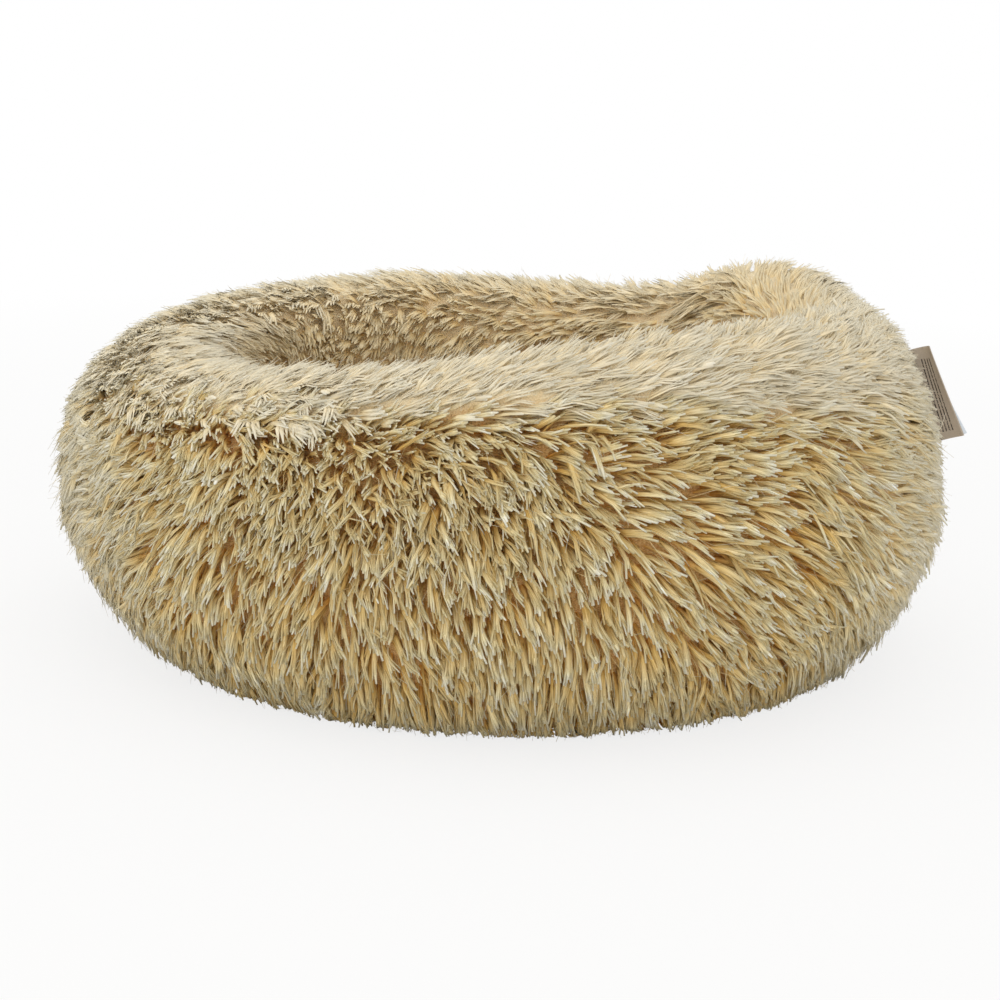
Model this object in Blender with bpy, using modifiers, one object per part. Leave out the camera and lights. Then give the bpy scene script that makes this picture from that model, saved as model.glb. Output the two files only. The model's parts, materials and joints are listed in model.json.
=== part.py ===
# Round plush pet bed: a stuffed ring wall round a sunken sleeping pad, on a cloth base.
# Metres, +Z up. The origin is the middle of the base on the floor, and -Y is the front.

import math

import bmesh
import bpy
from mathutils import Matrix, Vector

# Driving sizes of the whole bed, measured over the lying pile
BED_DIAMETER = 0.500
WALL_HEIGHT = 0.184
WALL_WIDTH = 0.112
WIDEST_HEIGHT = 0.085
FLOOR_SINK = 0.009

# Plush and its pile
BACKING_THICKNESS = 0.0015
PILE_STAND = 0.020
PAD_PILE_STAND = 0.016
PRESSED_PILE = 0.004
SEAM_THICKNESS = 0.004

# Loose filling makes the wall uneven: fuller at one side, with a hump behind it, and high
# at two opposite places; at the slack side the foot of the wall is tucked in
FULL_SIDE_RISE = 0.0115
CROSS_RISE = 0.0086
HUMP_RISE = 0.0265
OVAL_SPREAD = 0.009
FULL_SIDE_SWELL = 0.016
FOOT_TUCK = 0.036
FULL_SIDE_TURN = -16.0
CROSS_TURN = 123.0
SWELL_TURN = -35.0
HUMP_TURN = 30.0
HUMP_SPREAD_TURN = 23.0
OVAL_TURN = -29.0
FOOT_TUCK_TURN = -115.0

# Sleeping pad
PAD_GAP_TO_WALL = 0.0005
PAD_HEIGHT = 0.050
PAD_SIDE_HEIGHT = 0.022
PAD_DRAWN_IN = 0.004

# Base cloth, seam bindings and the closing seam's tape
BASE_THICKNESS = 0.0015
BINDING_WIDTH = 0.007
BINDING_THICKNESS = 0.0022
TAPE_WIDTH = 0.010
TAPE_THICKNESS = 0.0016
TAPE_CLEARANCE = 0.0006

# Care label and the smaller label behind it
LABEL_LENGTH = 0.050
LABEL_REACH = 0.017
LABEL_CLOTH = 0.0004
LABEL_FOLD_GAP = 0.0006
BACK_LABEL_LENGTH = 0.026
BACK_LABEL_REACH = 0.020
BACK_LABEL_DROP = 0.010
SLIT_END_CLEARANCE = 0.0015

# Clearance between pieces that touch, and the overrun of a cut
GAP = 0.0003
CUT_OVERRUN = 0.004
MERGE_DISTANCE = 0.00001

# Turns round the wall's section, in degrees: 0 points outwards, 90 is the crest
BASE_SEAM_TURN = -80.0
CREST_SEAM_TURN = 68.0
PAD_SEAM_TURN = 233.0
SEAM_TAPER_TURN = 34.0
LABEL_TURN = 30.0
LABEL_SLOPE_TURN = 1.0
FIRST_CORNER_TURN = 90.0
SHARP_TURN = 40.0

# Shares and counts
ROUNDNESS_SHARE = 0.85
PAD_ROUNDNESS_SHARE = 0.80
RISE_START_SHARE = 0.60
RISE_POWER_SHARE = 1.5
TUCK_POWER_SHARE = 1.5
STEPS_AROUND = 60
COVER_STEPS = 10
COVER_BACK_STEPS = 8
PAD_STEPS = 9
TAPE_STEPS = 2
FOLD_STEPS = 6

# Sizes that follow from the driving ones
BED_RADIUS = BED_DIAMETER / 2
CREST_RADIUS = BED_RADIUS - WALL_WIDTH / 2
INNER_RADIUS = BED_RADIUS - WALL_WIDTH
PLUSH_THICKNESS = BACKING_THICKNESS + PILE_STAND
PAD_PLUSH_THICKNESS = BACKING_THICKNESS + PAD_PILE_STAND
TAPE_ROOM = TAPE_THICKNESS + 2 * TAPE_CLEARANCE
STEP_TURN = 360.0 / STEPS_AROUND
LABEL_SEAM_TURN = -STEP_TURN
LABEL_STACK = LABEL_FOLD_GAP + 2 * LABEL_CLOTH
LABEL_SIDE = -(LABEL_STACK + GAP) / 2


def clamp(value, low, high):
    return max(low, min(high, value))


def smooth(share):
    share = clamp(share, 0.0, 1.0)
    return share * share * (3 - 2 * share)


def rounded(value):
    """A sine or cosine, made fuller, so that the section is rounder than an ellipse."""
    return math.copysign(abs(value) ** ROUNDNESS_SHARE, value)


def turn_between(angle, centre):
    """The shortest turn from centre to angle, in radians."""
    return (angle - centre + math.pi) % (2 * math.pi) - math.pi


def settled(point):
    """Where a point of the even, round bed lies once the loose filling has settled unevenly."""
    radius = math.hypot(point.x, point.y)
    if radius < MERGE_DISTANCE:
        return point.copy()
    angle = math.atan2(point.y, point.x)
    height_share = clamp(point.z / WALL_HEIGHT, 0.0, 1.0)
    hump_share = turn_between(angle, math.radians(HUMP_TURN)) / math.radians(HUMP_SPREAD_TURN)
    rise = FULL_SIDE_RISE * math.cos(angle - math.radians(FULL_SIDE_TURN))
    rise += CROSS_RISE * math.cos(2 * (angle - math.radians(CROSS_TURN)))
    rise += HUMP_RISE * math.exp(-hump_share * hump_share)
    rise_start = INNER_RADIUS * RISE_START_SHARE
    rise *= smooth((radius - rise_start) / (CREST_RADIUS - rise_start))
    outer_shift = OVAL_SPREAD * math.cos(2 * (angle - math.radians(OVAL_TURN)))
    inner_shift = outer_shift - FULL_SIDE_SWELL * math.cos(angle - math.radians(SWELL_TURN))
    across_share = (radius - INNER_RADIUS) / WALL_WIDTH
    if across_share < 0:
        shift = inner_shift * (radius / INNER_RADIUS) ** 2
    else:
        shift = inner_shift + (outer_shift - inner_shift) * min(across_share, 1.0)
    shift *= math.sin(math.pi * height_share) ** 2
    tuck = FOOT_TUCK * (1 + math.cos(angle - math.radians(FOOT_TUCK_TURN))) / 2
    low_share = clamp(1 - point.z / WIDEST_HEIGHT, 0.0, 1.0)
    shift -= tuck * low_share ** TUCK_POWER_SHARE * clamp(across_share, 0.0, 1.0)
    scale = (radius + shift) / radius
    height = point.z + rise * height_share ** RISE_POWER_SHARE
    return Vector((point.x * scale, point.y * scale, height))


def section_point(turn, inset):
    """A point (radius, height) of the even wall's section, inset from the tips of the pile."""
    reach = rounded(math.cos(math.radians(turn)))
    lift = rounded(math.sin(math.radians(turn)))
    radius = CREST_RADIUS + (WALL_WIDTH / 2 - inset) * reach
    if lift >= 0:
        height = WIDEST_HEIGHT + (WALL_HEIGHT - WIDEST_HEIGHT - inset) * lift
    else:
        height = WIDEST_HEIGHT + (WIDEST_HEIGHT + FLOOR_SINK - inset) * lift
    return radius, max(height, min(inset, PRESSED_PILE))


def plush_at(turn):
    """The plush's thickness, which thins towards the base seam and the pad seam."""
    to_seam = min(turn - BASE_SEAM_TURN, PAD_SEAM_TURN - turn)
    return SEAM_THICKNESS + (PLUSH_THICKNESS - SEAM_THICKNESS) * smooth(to_seam / SEAM_TAPER_TURN)


def spaced(start, end, steps):
    return [start + (end - start) * step / steps for step in range(steps + 1)]


# Turns at which the backing of each strip has its points; what lies against it shares them
BACKING_HALF_WIDTH = WALL_WIDTH / 2 - PLUSH_THICKNESS
CREST_GAP_TURN = math.degrees(GAP / BACKING_HALF_WIDTH)
SEAM_HALF_TURN = math.degrees(BINDING_WIDTH / 2 / BACKING_HALF_WIDTH)
OUTER_BACK_TURNS = spaced(CREST_SEAM_TURN - SEAM_HALF_TURN, BASE_SEAM_TURN, COVER_BACK_STEPS)
INNER_BACK_TURNS = spaced(PAD_SEAM_TURN, CREST_SEAM_TURN + SEAM_HALF_TURN, COVER_BACK_STEPS)

# Places that neighbours share
LIP_OUTER = section_point(BASE_SEAM_TURN, 0.0)
LIP_INNER = section_point(BASE_SEAM_TURN, SEAM_THICKNESS)
BASE_RADIUS = min(LIP_OUTER[0], LIP_INNER[0]) - GAP
PAD_LIP_LOW = section_point(PAD_SEAM_TURN, 0.0)
PAD_LIP_HIGH = section_point(PAD_SEAM_TURN, SEAM_THICKNESS)
FLANGE_RADIUS = PAD_LIP_HIGH[0]
FLANGE_TOP = PAD_LIP_LOW[1] - GAP
INSIDE_FLOOR = BASE_THICKNESS + GAP
BINDING_TOP = INSIDE_FLOOR + BINDING_THICKNESS
PAD_RADIUS = INNER_RADIUS - PAD_GAP_TO_WALL


def make_collection(name):
    collection = bpy.data.collections.new(name)
    bpy.context.scene.collection.children.link(collection)
    return collection


def make_material(name, colour, roughness):
    material = bpy.data.materials.new(name)
    material.use_nodes = True
    shader = material.node_tree.nodes["Principled BSDF"]
    shader.inputs["Base Color"].default_value = (*colour, 1.0)
    shader.inputs["Roughness"].default_value = roughness
    shader.inputs["Metallic"].default_value = 0.0
    return material


def evaluated_mesh(thing):
    """The object's mesh with its modifiers, as a new mesh."""
    bpy.context.view_layer.update()
    graph = bpy.context.evaluated_depsgraph_get()
    return bpy.data.meshes.new_from_object(thing.evaluated_get(graph))


def settle_mesh(thing):
    """Applies the modifiers, closes the surface and moves its points to where the filling puts them."""
    mesh = evaluated_mesh(thing)
    thing.modifiers.clear()
    work = bmesh.new()
    work.from_mesh(mesh)
    bmesh.ops.remove_doubles(work, verts=work.verts, dist=MERGE_DISTANCE)
    bmesh.ops.dissolve_degenerate(work, edges=work.edges, dist=MERGE_DISTANCE)
    bmesh.ops.recalc_face_normals(work, faces=work.faces)
    for vertex in work.verts:
        vertex.co = settled(vertex.co)
    work.to_mesh(mesh)
    work.free()
    mesh.shade_smooth()
    mesh.set_sharp_from_angle(angle=math.radians(SHARP_TURN))
    thing.data = mesh


def profile_object(name, outline, closed, collection):
    """An edge chain in the XZ plane at +X."""
    mesh = bpy.data.meshes.new(name)
    edges = [(index, index + 1) for index in range(len(outline) - 1)]
    if closed:
        edges.append((len(outline) - 1, 0))
    mesh.from_pydata([(radius, 0.0, height) for radius, height in outline], edges, [])
    thing = bpy.data.objects.new(name, mesh)
    collection.objects.link(thing)
    return thing


def add_screw(thing, turn, steps):
    screw = thing.modifiers.new("Turn", "SCREW")
    screw.axis = "Z"
    screw.angle = math.radians(turn)
    screw.steps = steps
    screw.render_steps = steps
    screw.use_merge_vertices = True
    screw.merge_threshold = MERGE_DISTANCE
    screw.use_smooth_shade = True


def turned(name, outline, closed, material, collection):
    """A turned piece of the bed: its outline swept right round, then settled with the filling."""
    thing = profile_object(name, outline, closed, collection)
    add_screw(thing, 360.0, STEPS_AROUND)
    settle_mesh(thing)
    thing.data.materials.append(material)
    return thing


def plush_outline(start, end, back_turns):
    """The closed outline of a strip of plush: the tips of its pile, then its backing."""
    tips = [section_point(turn, 0.0) for turn in spaced(start, end, COVER_STEPS)]
    back = [section_point(turn, plush_at(turn)) for turn in back_turns]
    return tips + back


def filling_point(turn):
    radius, height = section_point(turn, plush_at(turn) + TAPE_ROOM)
    return radius, max(height, BINDING_TOP + GAP)


def make_outer_cover(material, collection):
    back_turns = [CREST_SEAM_TURN] + OUTER_BACK_TURNS
    outline = plush_outline(BASE_SEAM_TURN, CREST_SEAM_TURN, back_turns)
    return turned("outer_wall_cover", outline, True, material, collection)


def make_inner_cover(material, collection):
    start = CREST_SEAM_TURN + CREST_GAP_TURN
    outline = plush_outline(start, PAD_SEAM_TURN, INNER_BACK_TURNS + [start])
    return turned("inner_wall_cover", outline, True, material, collection)


def make_wall_filling(material, collection):
    """The fibre ring fills the covers and rests on the base cloth between the two bindings."""
    turns = OUTER_BACK_TURNS[-2::-1] + INNER_BACK_TURNS[:0:-1]
    outline = [filling_point(turn) for turn in turns]
    inner_edge = FLANGE_RADIUS + GAP + BINDING_WIDTH + GAP
    outer_edge = BASE_RADIUS - BINDING_WIDTH - GAP
    outline.append((inner_edge, BINDING_TOP + GAP))
    outline.append((inner_edge, INSIDE_FLOOR))
    outline.append((outer_edge, INSIDE_FLOOR))
    outline.append((outer_edge, BINDING_TOP + GAP))
    return turned("wall_filling", outline, True, material, collection)


def pad_curve(inset):
    """The pad's crowned top from the middle to its side, inset from the tips of its pile."""
    curve = []
    for turn in spaced(0.0, 90.0, PAD_STEPS):
        reach = math.sin(math.radians(turn)) ** PAD_ROUNDNESS_SHARE
        lift = math.cos(math.radians(turn)) ** PAD_ROUNDNESS_SHARE
        height = PAD_SIDE_HEIGHT + (PAD_HEIGHT - PAD_SIDE_HEIGHT - inset) * lift
        curve.append(((PAD_RADIUS - inset) * reach, height))
    return curve


def make_pad_cover(material, collection):
    """A crowned plush disc with drawn-in sides and a flat flange that runs under the inner wall."""
    outline = pad_curve(0.0)
    outline.append((PAD_RADIUS - PAD_DRAWN_IN, FLANGE_TOP))
    outline.append((FLANGE_RADIUS, FLANGE_TOP))
    outline.append((FLANGE_RADIUS, INSIDE_FLOOR))
    outline.append((PAD_RADIUS - PAD_DRAWN_IN - PAD_PLUSH_THICKNESS, INSIDE_FLOOR))
    outline.extend(reversed(pad_curve(PAD_PLUSH_THICKNESS)))
    return turned("pad_cover", outline, False, material, collection)


def make_pad_filling(material, collection):
    inset = PAD_PLUSH_THICKNESS + GAP
    outline = pad_curve(inset)
    outline.append((PAD_RADIUS - PAD_DRAWN_IN - inset, INSIDE_FLOOR))
    outline.append((0.0, INSIDE_FLOOR))
    return turned("pad_filling", outline, False, material, collection)


def make_base_cloth(material, collection):
    """A flat cloth disc, cut to the same polygon as the lip that it is sewn to."""
    work = bmesh.new()
    middle = Matrix.Translation((0.0, 0.0, BASE_THICKNESS / 2))
    bmesh.ops.create_cone(
        work,
        cap_ends=True,
        cap_tris=True,
        segments=STEPS_AROUND,
        radius1=BASE_RADIUS,
        radius2=BASE_RADIUS,
        depth=BASE_THICKNESS,
        matrix=middle,
    )
    first = math.radians(FIRST_CORNER_TURN)
    bmesh.ops.rotate(work, verts=work.verts, matrix=Matrix.Rotation(-first, 3, "Z"))
    for vertex in work.verts:
        vertex.co = settled(vertex.co)
    mesh = bpy.data.meshes.new("base_cloth")
    work.to_mesh(mesh)
    work.free()
    mesh.materials.append(material)
    thing = bpy.data.objects.new("base_cloth", mesh)
    collection.objects.link(thing)
    return thing


def make_ring_binding(name, inner_radius, material, collection):
    """A flat binding laid on the base cloth round a seam."""
    outline = [
        (inner_radius + BINDING_WIDTH, INSIDE_FLOOR),
        (inner_radius + BINDING_WIDTH, BINDING_TOP),
        (inner_radius, BINDING_TOP),
        (inner_radius, INSIDE_FLOOR),
    ]
    return turned(name, outline, True, material, collection)


def make_crest_binding(material, collection):
    """The binding behind the crest seam lies against the backing of both strips."""
    turns = [OUTER_BACK_TURNS[0], CREST_SEAM_TURN, INNER_BACK_TURNS[-1]]
    face_inset = PLUSH_THICKNESS + TAPE_CLEARANCE
    outline = [section_point(turn, face_inset) for turn in turns]
    outline += [section_point(turn, face_inset + TAPE_THICKNESS) for turn in reversed(turns)]
    return turned("crest_seam_binding", outline, True, material, collection)


def make_closing_tape(material, collection):
    """The stay tape runs up the inside of the outer strip, behind its upright closing seam."""
    middle_inset = TAPE_CLEARANCE + TAPE_THICKNESS / 2
    outline = []
    for turn in OUTER_BACK_TURNS[1:-2]:
        outline.append(section_point(turn, plush_at(turn) + middle_inset))
    thing = profile_object("closing_seam_tape", outline, False, collection)
    wide_turn = math.degrees(TAPE_WIDTH / CREST_RADIUS)
    add_screw(thing, wide_turn, TAPE_STEPS)
    thickness = thing.modifiers.new("Thickness", "SOLIDIFY")
    thickness.thickness = TAPE_THICKNESS
    thickness.offset = 0.0
    mesh = evaluated_mesh(thing)
    thing.modifiers.clear()
    mesh.transform(Matrix.Rotation(math.radians(LABEL_SEAM_TURN - wide_turn / 2), 4, "Z"))
    thing.data = mesh
    settle_mesh(thing)
    thing.data.materials.append(material)
    return thing


def label_frame():
    """Axes at the label's seat: X out of the wall, Y round the wall, Z up along the seam."""
    low = Vector((*section_point(LABEL_TURN - LABEL_SLOPE_TURN, 0.0), 0.0))
    high = Vector((*section_point(LABEL_TURN + LABEL_SLOPE_TURN, 0.0), 0.0))
    seat = section_point(LABEL_TURN, 0.0)
    along = (high - low).normalized()
    up = Vector((along.x, 0.0, along.y))
    out = Vector((along.y, 0.0, -along.x))
    side = up.cross(out)
    frame = Matrix((out, side, up)).transposed().to_4x4()
    frame.translation = Vector((seat[0], 0.0, seat[1]))
    return Matrix.Rotation(math.radians(LABEL_SEAM_TURN), 4, "Z") @ frame


def folded_label(name, length, reach, side_place, drop, material, collection):
    """A strip folded in half, its two ends sewn in at the backing and its fold outside the pile."""
    fold_radius = (LABEL_FOLD_GAP + LABEL_CLOTH) / 2
    end = -PLUSH_THICKNESS
    path = [(end, side_place - fold_radius)]
    for turn in spaced(-90.0, 90.0, FOLD_STEPS):
        out = reach - fold_radius + fold_radius * math.cos(math.radians(turn))
        path.append((out, side_place + fold_radius * math.sin(math.radians(turn))))
    path.append((end, side_place + fold_radius))
    work = bmesh.new()
    low = -drop - length / 2
    chain = [work.verts.new((out, side, low)) for out, side in path]
    edges = [work.edges.new(pair) for pair in zip(chain, chain[1:])]
    swept = bmesh.ops.extrude_edge_only(work, edges=edges)["geom"]
    moved = [item for item in swept if isinstance(item, bmesh.types.BMVert)]
    bmesh.ops.translate(work, verts=moved, vec=(0.0, 0.0, length))
    mesh = bpy.data.meshes.new(name)
    work.to_mesh(mesh)
    work.free()
    thing = bpy.data.objects.new(name, mesh)
    collection.objects.link(thing)
    cloth = thing.modifiers.new("Cloth", "SOLIDIFY")
    cloth.thickness = LABEL_CLOTH
    cloth.offset = 0.0
    mesh = evaluated_mesh(thing)
    thing.modifiers.clear()
    mesh.transform(label_frame())
    thing.data = mesh
    settle_mesh(thing)
    thing.data.materials.append(material)
    return thing


def cut_label_slit(cover, cutters):
    """The upright seam is left open where the labels come out through the pile."""
    thickness = 2 * LABEL_STACK + 3 * GAP
    length = LABEL_LENGTH + 2 * SLIT_END_CLEARANCE
    depth = CUT_OVERRUN + PLUSH_THICKNESS + LABEL_REACH
    work = bmesh.new()
    bmesh.ops.create_cube(work, size=1.0)
    bmesh.ops.scale(work, verts=work.verts, vec=(depth, thickness, length))
    middle = depth / 2 - PLUSH_THICKNESS - CUT_OVERRUN
    bmesh.ops.translate(work, verts=work.verts, vec=(middle, 0.0, 0.0))
    bmesh.ops.transform(work, verts=work.verts, matrix=label_frame())
    for vertex in work.verts:
        vertex.co = settled(vertex.co)
    bmesh.ops.recalc_face_normals(work, faces=work.faces)
    mesh = bpy.data.meshes.new("label_slit_cutter")
    work.to_mesh(mesh)
    work.free()
    cutter = bpy.data.objects.new("label_slit_cutter", mesh)
    cutter.hide_render = True
    cutter.display_type = "WIRE"
    cutters.objects.link(cutter)
    cut = cover.modifiers.new("Label slit", "BOOLEAN")
    cut.operation = "DIFFERENCE"
    cut.solver = "EXACT"
    cut.object = cutter


def make_labels(material, back_material, collection):
    folded_label(
        "care_label", LABEL_LENGTH, LABEL_REACH, LABEL_SIDE, 0.0, material, collection
    )
    folded_label(
        "back_label",
        BACK_LABEL_LENGTH,
        BACK_LABEL_REACH,
        -LABEL_SIDE,
        BACK_LABEL_DROP,
        back_material,
        collection,
    )


def build():
    for thing in list(bpy.data.objects):
        bpy.data.objects.remove(thing, do_unlink=True)
    parts = make_collection("round_pet_bed")
    cutters = make_collection("cutters")
    cutters.hide_render = True
    cream_plush = make_material("cream_plush", (0.70, 0.60, 0.40), 0.90)
    golden_plush = make_material("inner_plush", (0.68, 0.55, 0.34), 0.90)
    fibre = make_material("polyester_fibre", (0.88, 0.88, 0.86), 0.95)
    base = make_material("coated_base_cloth", (0.16, 0.15, 0.14), 0.75)
    tape = make_material("seam_tape", (0.80, 0.74, 0.62), 0.85)
    label = make_material("label_cloth", (0.52, 0.47, 0.40), 0.70)
    white_label = make_material("white_label_cloth", (0.80, 0.84, 0.88), 0.55)

    outer_cover = make_outer_cover(cream_plush, parts)
    make_inner_cover(cream_plush, parts)
    make_wall_filling(fibre, parts)
    make_pad_cover(golden_plush, parts)
    make_pad_filling(fibre, parts)
    make_base_cloth(base, parts)
    make_ring_binding("base_seam_binding", BASE_RADIUS - BINDING_WIDTH, tape, parts)
    make_ring_binding("pad_seam_binding", FLANGE_RADIUS + GAP, tape, parts)
    make_crest_binding(tape, parts)
    make_closing_tape(tape, parts)
    make_labels(label, white_label, parts)
    cut_label_slit(outer_cover, cutters)
    bpy.context.view_layer.update()


build()
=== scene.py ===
# %% [markdown]
# # A round plush pet bed
# The bed is a stuffed ring of long-pile plush round a flat sleeping pad. Nearly all that shows is
# pile: thousands of clumped locks, cream at the tips and golden brown near the knitted backing. The
# lesson builds the cloth under the pile first, then one lock, and then plants its copies
# along the wall with a direction and a lean that follow how the bed was brushed and packed.

# %% Load the imported frame
import json
import math

import bmesh
import bpy
import numpy as np
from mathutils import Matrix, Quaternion, Vector
from mathutils.kdtree import KDTree

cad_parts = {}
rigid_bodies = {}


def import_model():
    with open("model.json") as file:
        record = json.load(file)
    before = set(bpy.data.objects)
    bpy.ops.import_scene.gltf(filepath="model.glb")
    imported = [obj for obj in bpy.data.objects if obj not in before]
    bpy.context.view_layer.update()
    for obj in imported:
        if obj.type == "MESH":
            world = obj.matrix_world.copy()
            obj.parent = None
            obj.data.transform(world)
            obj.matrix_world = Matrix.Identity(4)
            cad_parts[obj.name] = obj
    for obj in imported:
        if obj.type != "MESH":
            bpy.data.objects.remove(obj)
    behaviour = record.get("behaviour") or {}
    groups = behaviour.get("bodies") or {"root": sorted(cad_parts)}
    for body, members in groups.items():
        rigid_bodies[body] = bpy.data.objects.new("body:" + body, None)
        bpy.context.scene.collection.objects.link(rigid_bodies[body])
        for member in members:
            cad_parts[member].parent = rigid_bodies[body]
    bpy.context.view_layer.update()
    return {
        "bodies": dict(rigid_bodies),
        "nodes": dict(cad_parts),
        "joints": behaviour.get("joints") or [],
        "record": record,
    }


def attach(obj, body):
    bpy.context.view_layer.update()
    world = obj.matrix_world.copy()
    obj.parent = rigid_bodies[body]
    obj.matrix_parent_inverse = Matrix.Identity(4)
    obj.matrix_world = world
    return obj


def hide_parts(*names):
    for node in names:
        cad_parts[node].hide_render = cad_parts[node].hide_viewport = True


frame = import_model()
print("nodes:", sorted(frame["nodes"]))

# %% [markdown]
# ## The camera
# The photograph was taken from a little above the rim, so that the near wall hides most of the
# hollow. The place, the lens and the slight roll come from fitting the wall's outline to it.

# %% Camera
CAMERA_PLACE = Vector((0.0111, -1.0525, 0.3258))
CAMERA_AIM = Vector((0.0038, 0.0, 0.0749))
CAMERA_ROLL = 0.0306
LENS_SHARE = 1.8179

bpy.ops.object.camera_add(location=CAMERA_PLACE)
camera = bpy.context.object
camera.name = "photo_camera"
camera.data.sensor_width = 36.0
camera.data.lens = 36.0 * LENS_SHARE
camera.data.clip_start = 0.05
camera.rotation_mode = "QUATERNION"
aim = (CAMERA_AIM - CAMERA_PLACE).to_track_quat("-Z", "Y")
camera.rotation_quaternion = aim @ Quaternion((0.0, 0.0, 1.0), CAMERA_ROLL)
bpy.context.scene.camera = camera
print("camera", tuple(round(v, 3) for v in camera.location), "lens", round(camera.data.lens, 1))

# %% [markdown]
# ## Working helpers
# Operators act on whatever is selected, so each step first clears the selection and picks its own
# object. A finished piece rides on the bed's one body and takes its finish from a material slot.

# %% Selection and finishing helpers
def pick(piece):
    if bpy.context.object and bpy.context.object.mode != "OBJECT":
        bpy.ops.object.mode_set(mode="OBJECT")
    bpy.ops.object.select_all(action="DESELECT")
    piece.select_set(True)
    bpy.context.view_layer.objects.active = piece
    return piece


def apply_modifiers(piece):
    pick(piece)
    for modifier in list(piece.modifiers):
        bpy.ops.object.modifier_apply(modifier=modifier.name)


def finished(piece, material, replaces=()):
    piece.data.materials.clear()
    piece.data.materials.append(material)
    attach(piece, "root")
    if replaces:
        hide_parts(*replaces)
    return piece


# %% [markdown]
# ## Materials as sums
# A material is a web of nodes. To keep it readable, a small class holds one socket and lets plain
# arithmetic add the Math nodes. A second one adds any other node: its settings first, then the
# values or links of its sockets. The third holds a material and knows its shader.

# %% One socket that can be calculated with
class Wire:
    def __init__(self, web, socket):
        self.web = web
        self.socket = socket

    def other(self, output):
        """Another output of the same node."""
        return Wire(self.web, self.socket.node.outputs[output])

    def math(self, operation, first, second):
        return self.web.node("ShaderNodeMath", {"operation": operation}, {0: first, 1: second})

    def __add__(self, other):
        return self.math("ADD", self, other)

    __radd__ = __add__

    def __sub__(self, other):
        return self.math("SUBTRACT", self, other)

    def __rsub__(self, other):
        return self.math("SUBTRACT", other, self)

    def __mul__(self, other):
        return self.math("MULTIPLY", self, other)

    __rmul__ = __mul__

    def __pow__(self, other):
        return self.math("POWER", self, other)

    def zigzag(self):
        """Rises from 0 to a half and falls back, once for every 1 of the value."""
        return self.math("PINGPONG", self, 0.5)

    def over(self, limit):
        return self.math("GREATER_THAN", self, limit)


# %% A web of nodes, and a material
class Web:
    def __init__(self, tree):
        self.tree = tree

    def node(self, kind, settings=None, sockets=None, output=0):
        made = self.tree.nodes.new(kind)
        for name, value in (settings or {}).items():
            if name == "stops":
                ramp = made.color_ramp
                while len(ramp.elements) < len(value):
                    ramp.elements.new(1.0)
                for element, (place, colour) in zip(ramp.elements, value):
                    element.position = place
                    element.color = (*colour, 1.0)
            else:
                setattr(made, name, value)
        for name, value in (sockets or {}).items():
            self.feed(made.inputs[name], value)
        return Wire(self, made.outputs[output])

    def feed(self, socket, value):
        if isinstance(value, Wire):
            self.tree.links.new(value.socket, socket)
        elif socket.type == "RGBA" and len(value) == 3:
            socket.default_value = (*value, 1.0)
        else:
            socket.default_value = value


class Paint(Web):
    def __init__(self, name, roughness=0.8):
        self.material = bpy.data.materials.new(name)
        self.material.use_nodes = True
        super().__init__(self.material.node_tree)
        self.shader = self.tree.nodes["Principled BSDF"]
        self.shader.inputs["Roughness"].default_value = roughness

    def set(self, **values):
        for name, value in values.items():
            self.feed(self.shader.inputs[name.replace("_", " ")], value)

    def mix(self, share, first, second, blend="MIX"):
        return self.node(
            "ShaderNodeMix", {"data_type": "RGBA", "blend_type": blend},
            {0: share, 6: first, 7: second}, output=2,
        )

    def value(self, attribute):
        return self.node("ShaderNodeAttribute", {"attribute_name": attribute}, output="Fac")

    def place(self):
        """The place in the object, in metres."""
        return self.node("ShaderNodeTexCoord", output="Object")

    def on_map(self, name):
        return self.node("ShaderNodeUVMap", {"uv_map": name})

    def axis(self, place):
        """The first number of a place; its other(1) is the second."""
        return self.node("ShaderNodeSeparateXYZ", None, {0: place})

    def noise(self, place, scale, detail=2.0, roughness=0.5):
        return self.node(
            "ShaderNodeTexNoise", None,
            {"Vector": place, "Scale": scale, "Detail": detail, "Roughness": roughness},
        )

    def bump(self, height, strength, distance):
        bump = self.node(
            "ShaderNodeBump", None,
            {"Height": height, "Strength": strength, "Distance": distance},
        )
        self.feed(self.shader.inputs["Normal"], bump)


# %% Colours
def linear(red, green, blue):
    """A colour as a picture editor shows it, from 0 to 255, as the shader wants it."""
    return tuple(
        v / 12.92 if v <= 0.04045 else ((v + 0.055) / 1.055) ** 2.4
        for v in (red / 255, green / 255, blue / 255)
    )


print("white is", linear(255, 255, 255), "and middle grey is", round(linear(128, 128, 128)[0], 3))

# %% [markdown]
# ## Light
# The bed was photographed in soft, even light from above. A pale, slightly warm world and one very
# wide lamp overhead do the same, with a weaker lamp in front that opens the shadows between the
# locks. The camera and reflections see a white world in place of the warm one that lights the bed.

# %% World
WORLD_STRENGTH = 0.82
WORLD_COLOUR = (1.0, 0.985, 0.95)
CAMERA_WHITE = (1.0, 1.0, 1.0)


def shows_background(web):
    """1 for the rays that show the background: from the camera, or by way of gloss or glass."""
    rays = web.node("ShaderNodeLightPath")
    straight = rays.math("MAXIMUM", rays, rays.other("Is Glossy Ray"))
    return rays.math("MAXIMUM", straight, rays.other("Is Transmission Ray"))


world = bpy.data.worlds.new("soft_studio")
bpy.context.scene.world = world
world.use_nodes = True
sky = Web(world.node_tree)
sky.tree.nodes.remove(sky.tree.nodes["Background"])
warm_sky = sky.node(
    "ShaderNodeBackground", None, {"Color": WORLD_COLOUR, "Strength": WORLD_STRENGTH}
)
white_sky = sky.node("ShaderNodeBackground", None, {"Color": CAMERA_WHITE, "Strength": 1.0})
either_sky = sky.node(
    "ShaderNodeMixShader", None, {0: shows_background(sky), 1: warm_sky, 2: white_sky}
)
sky.feed(sky.tree.nodes["World Output"].inputs["Surface"], either_sky)
print("world strength", WORLD_STRENGTH)


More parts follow.
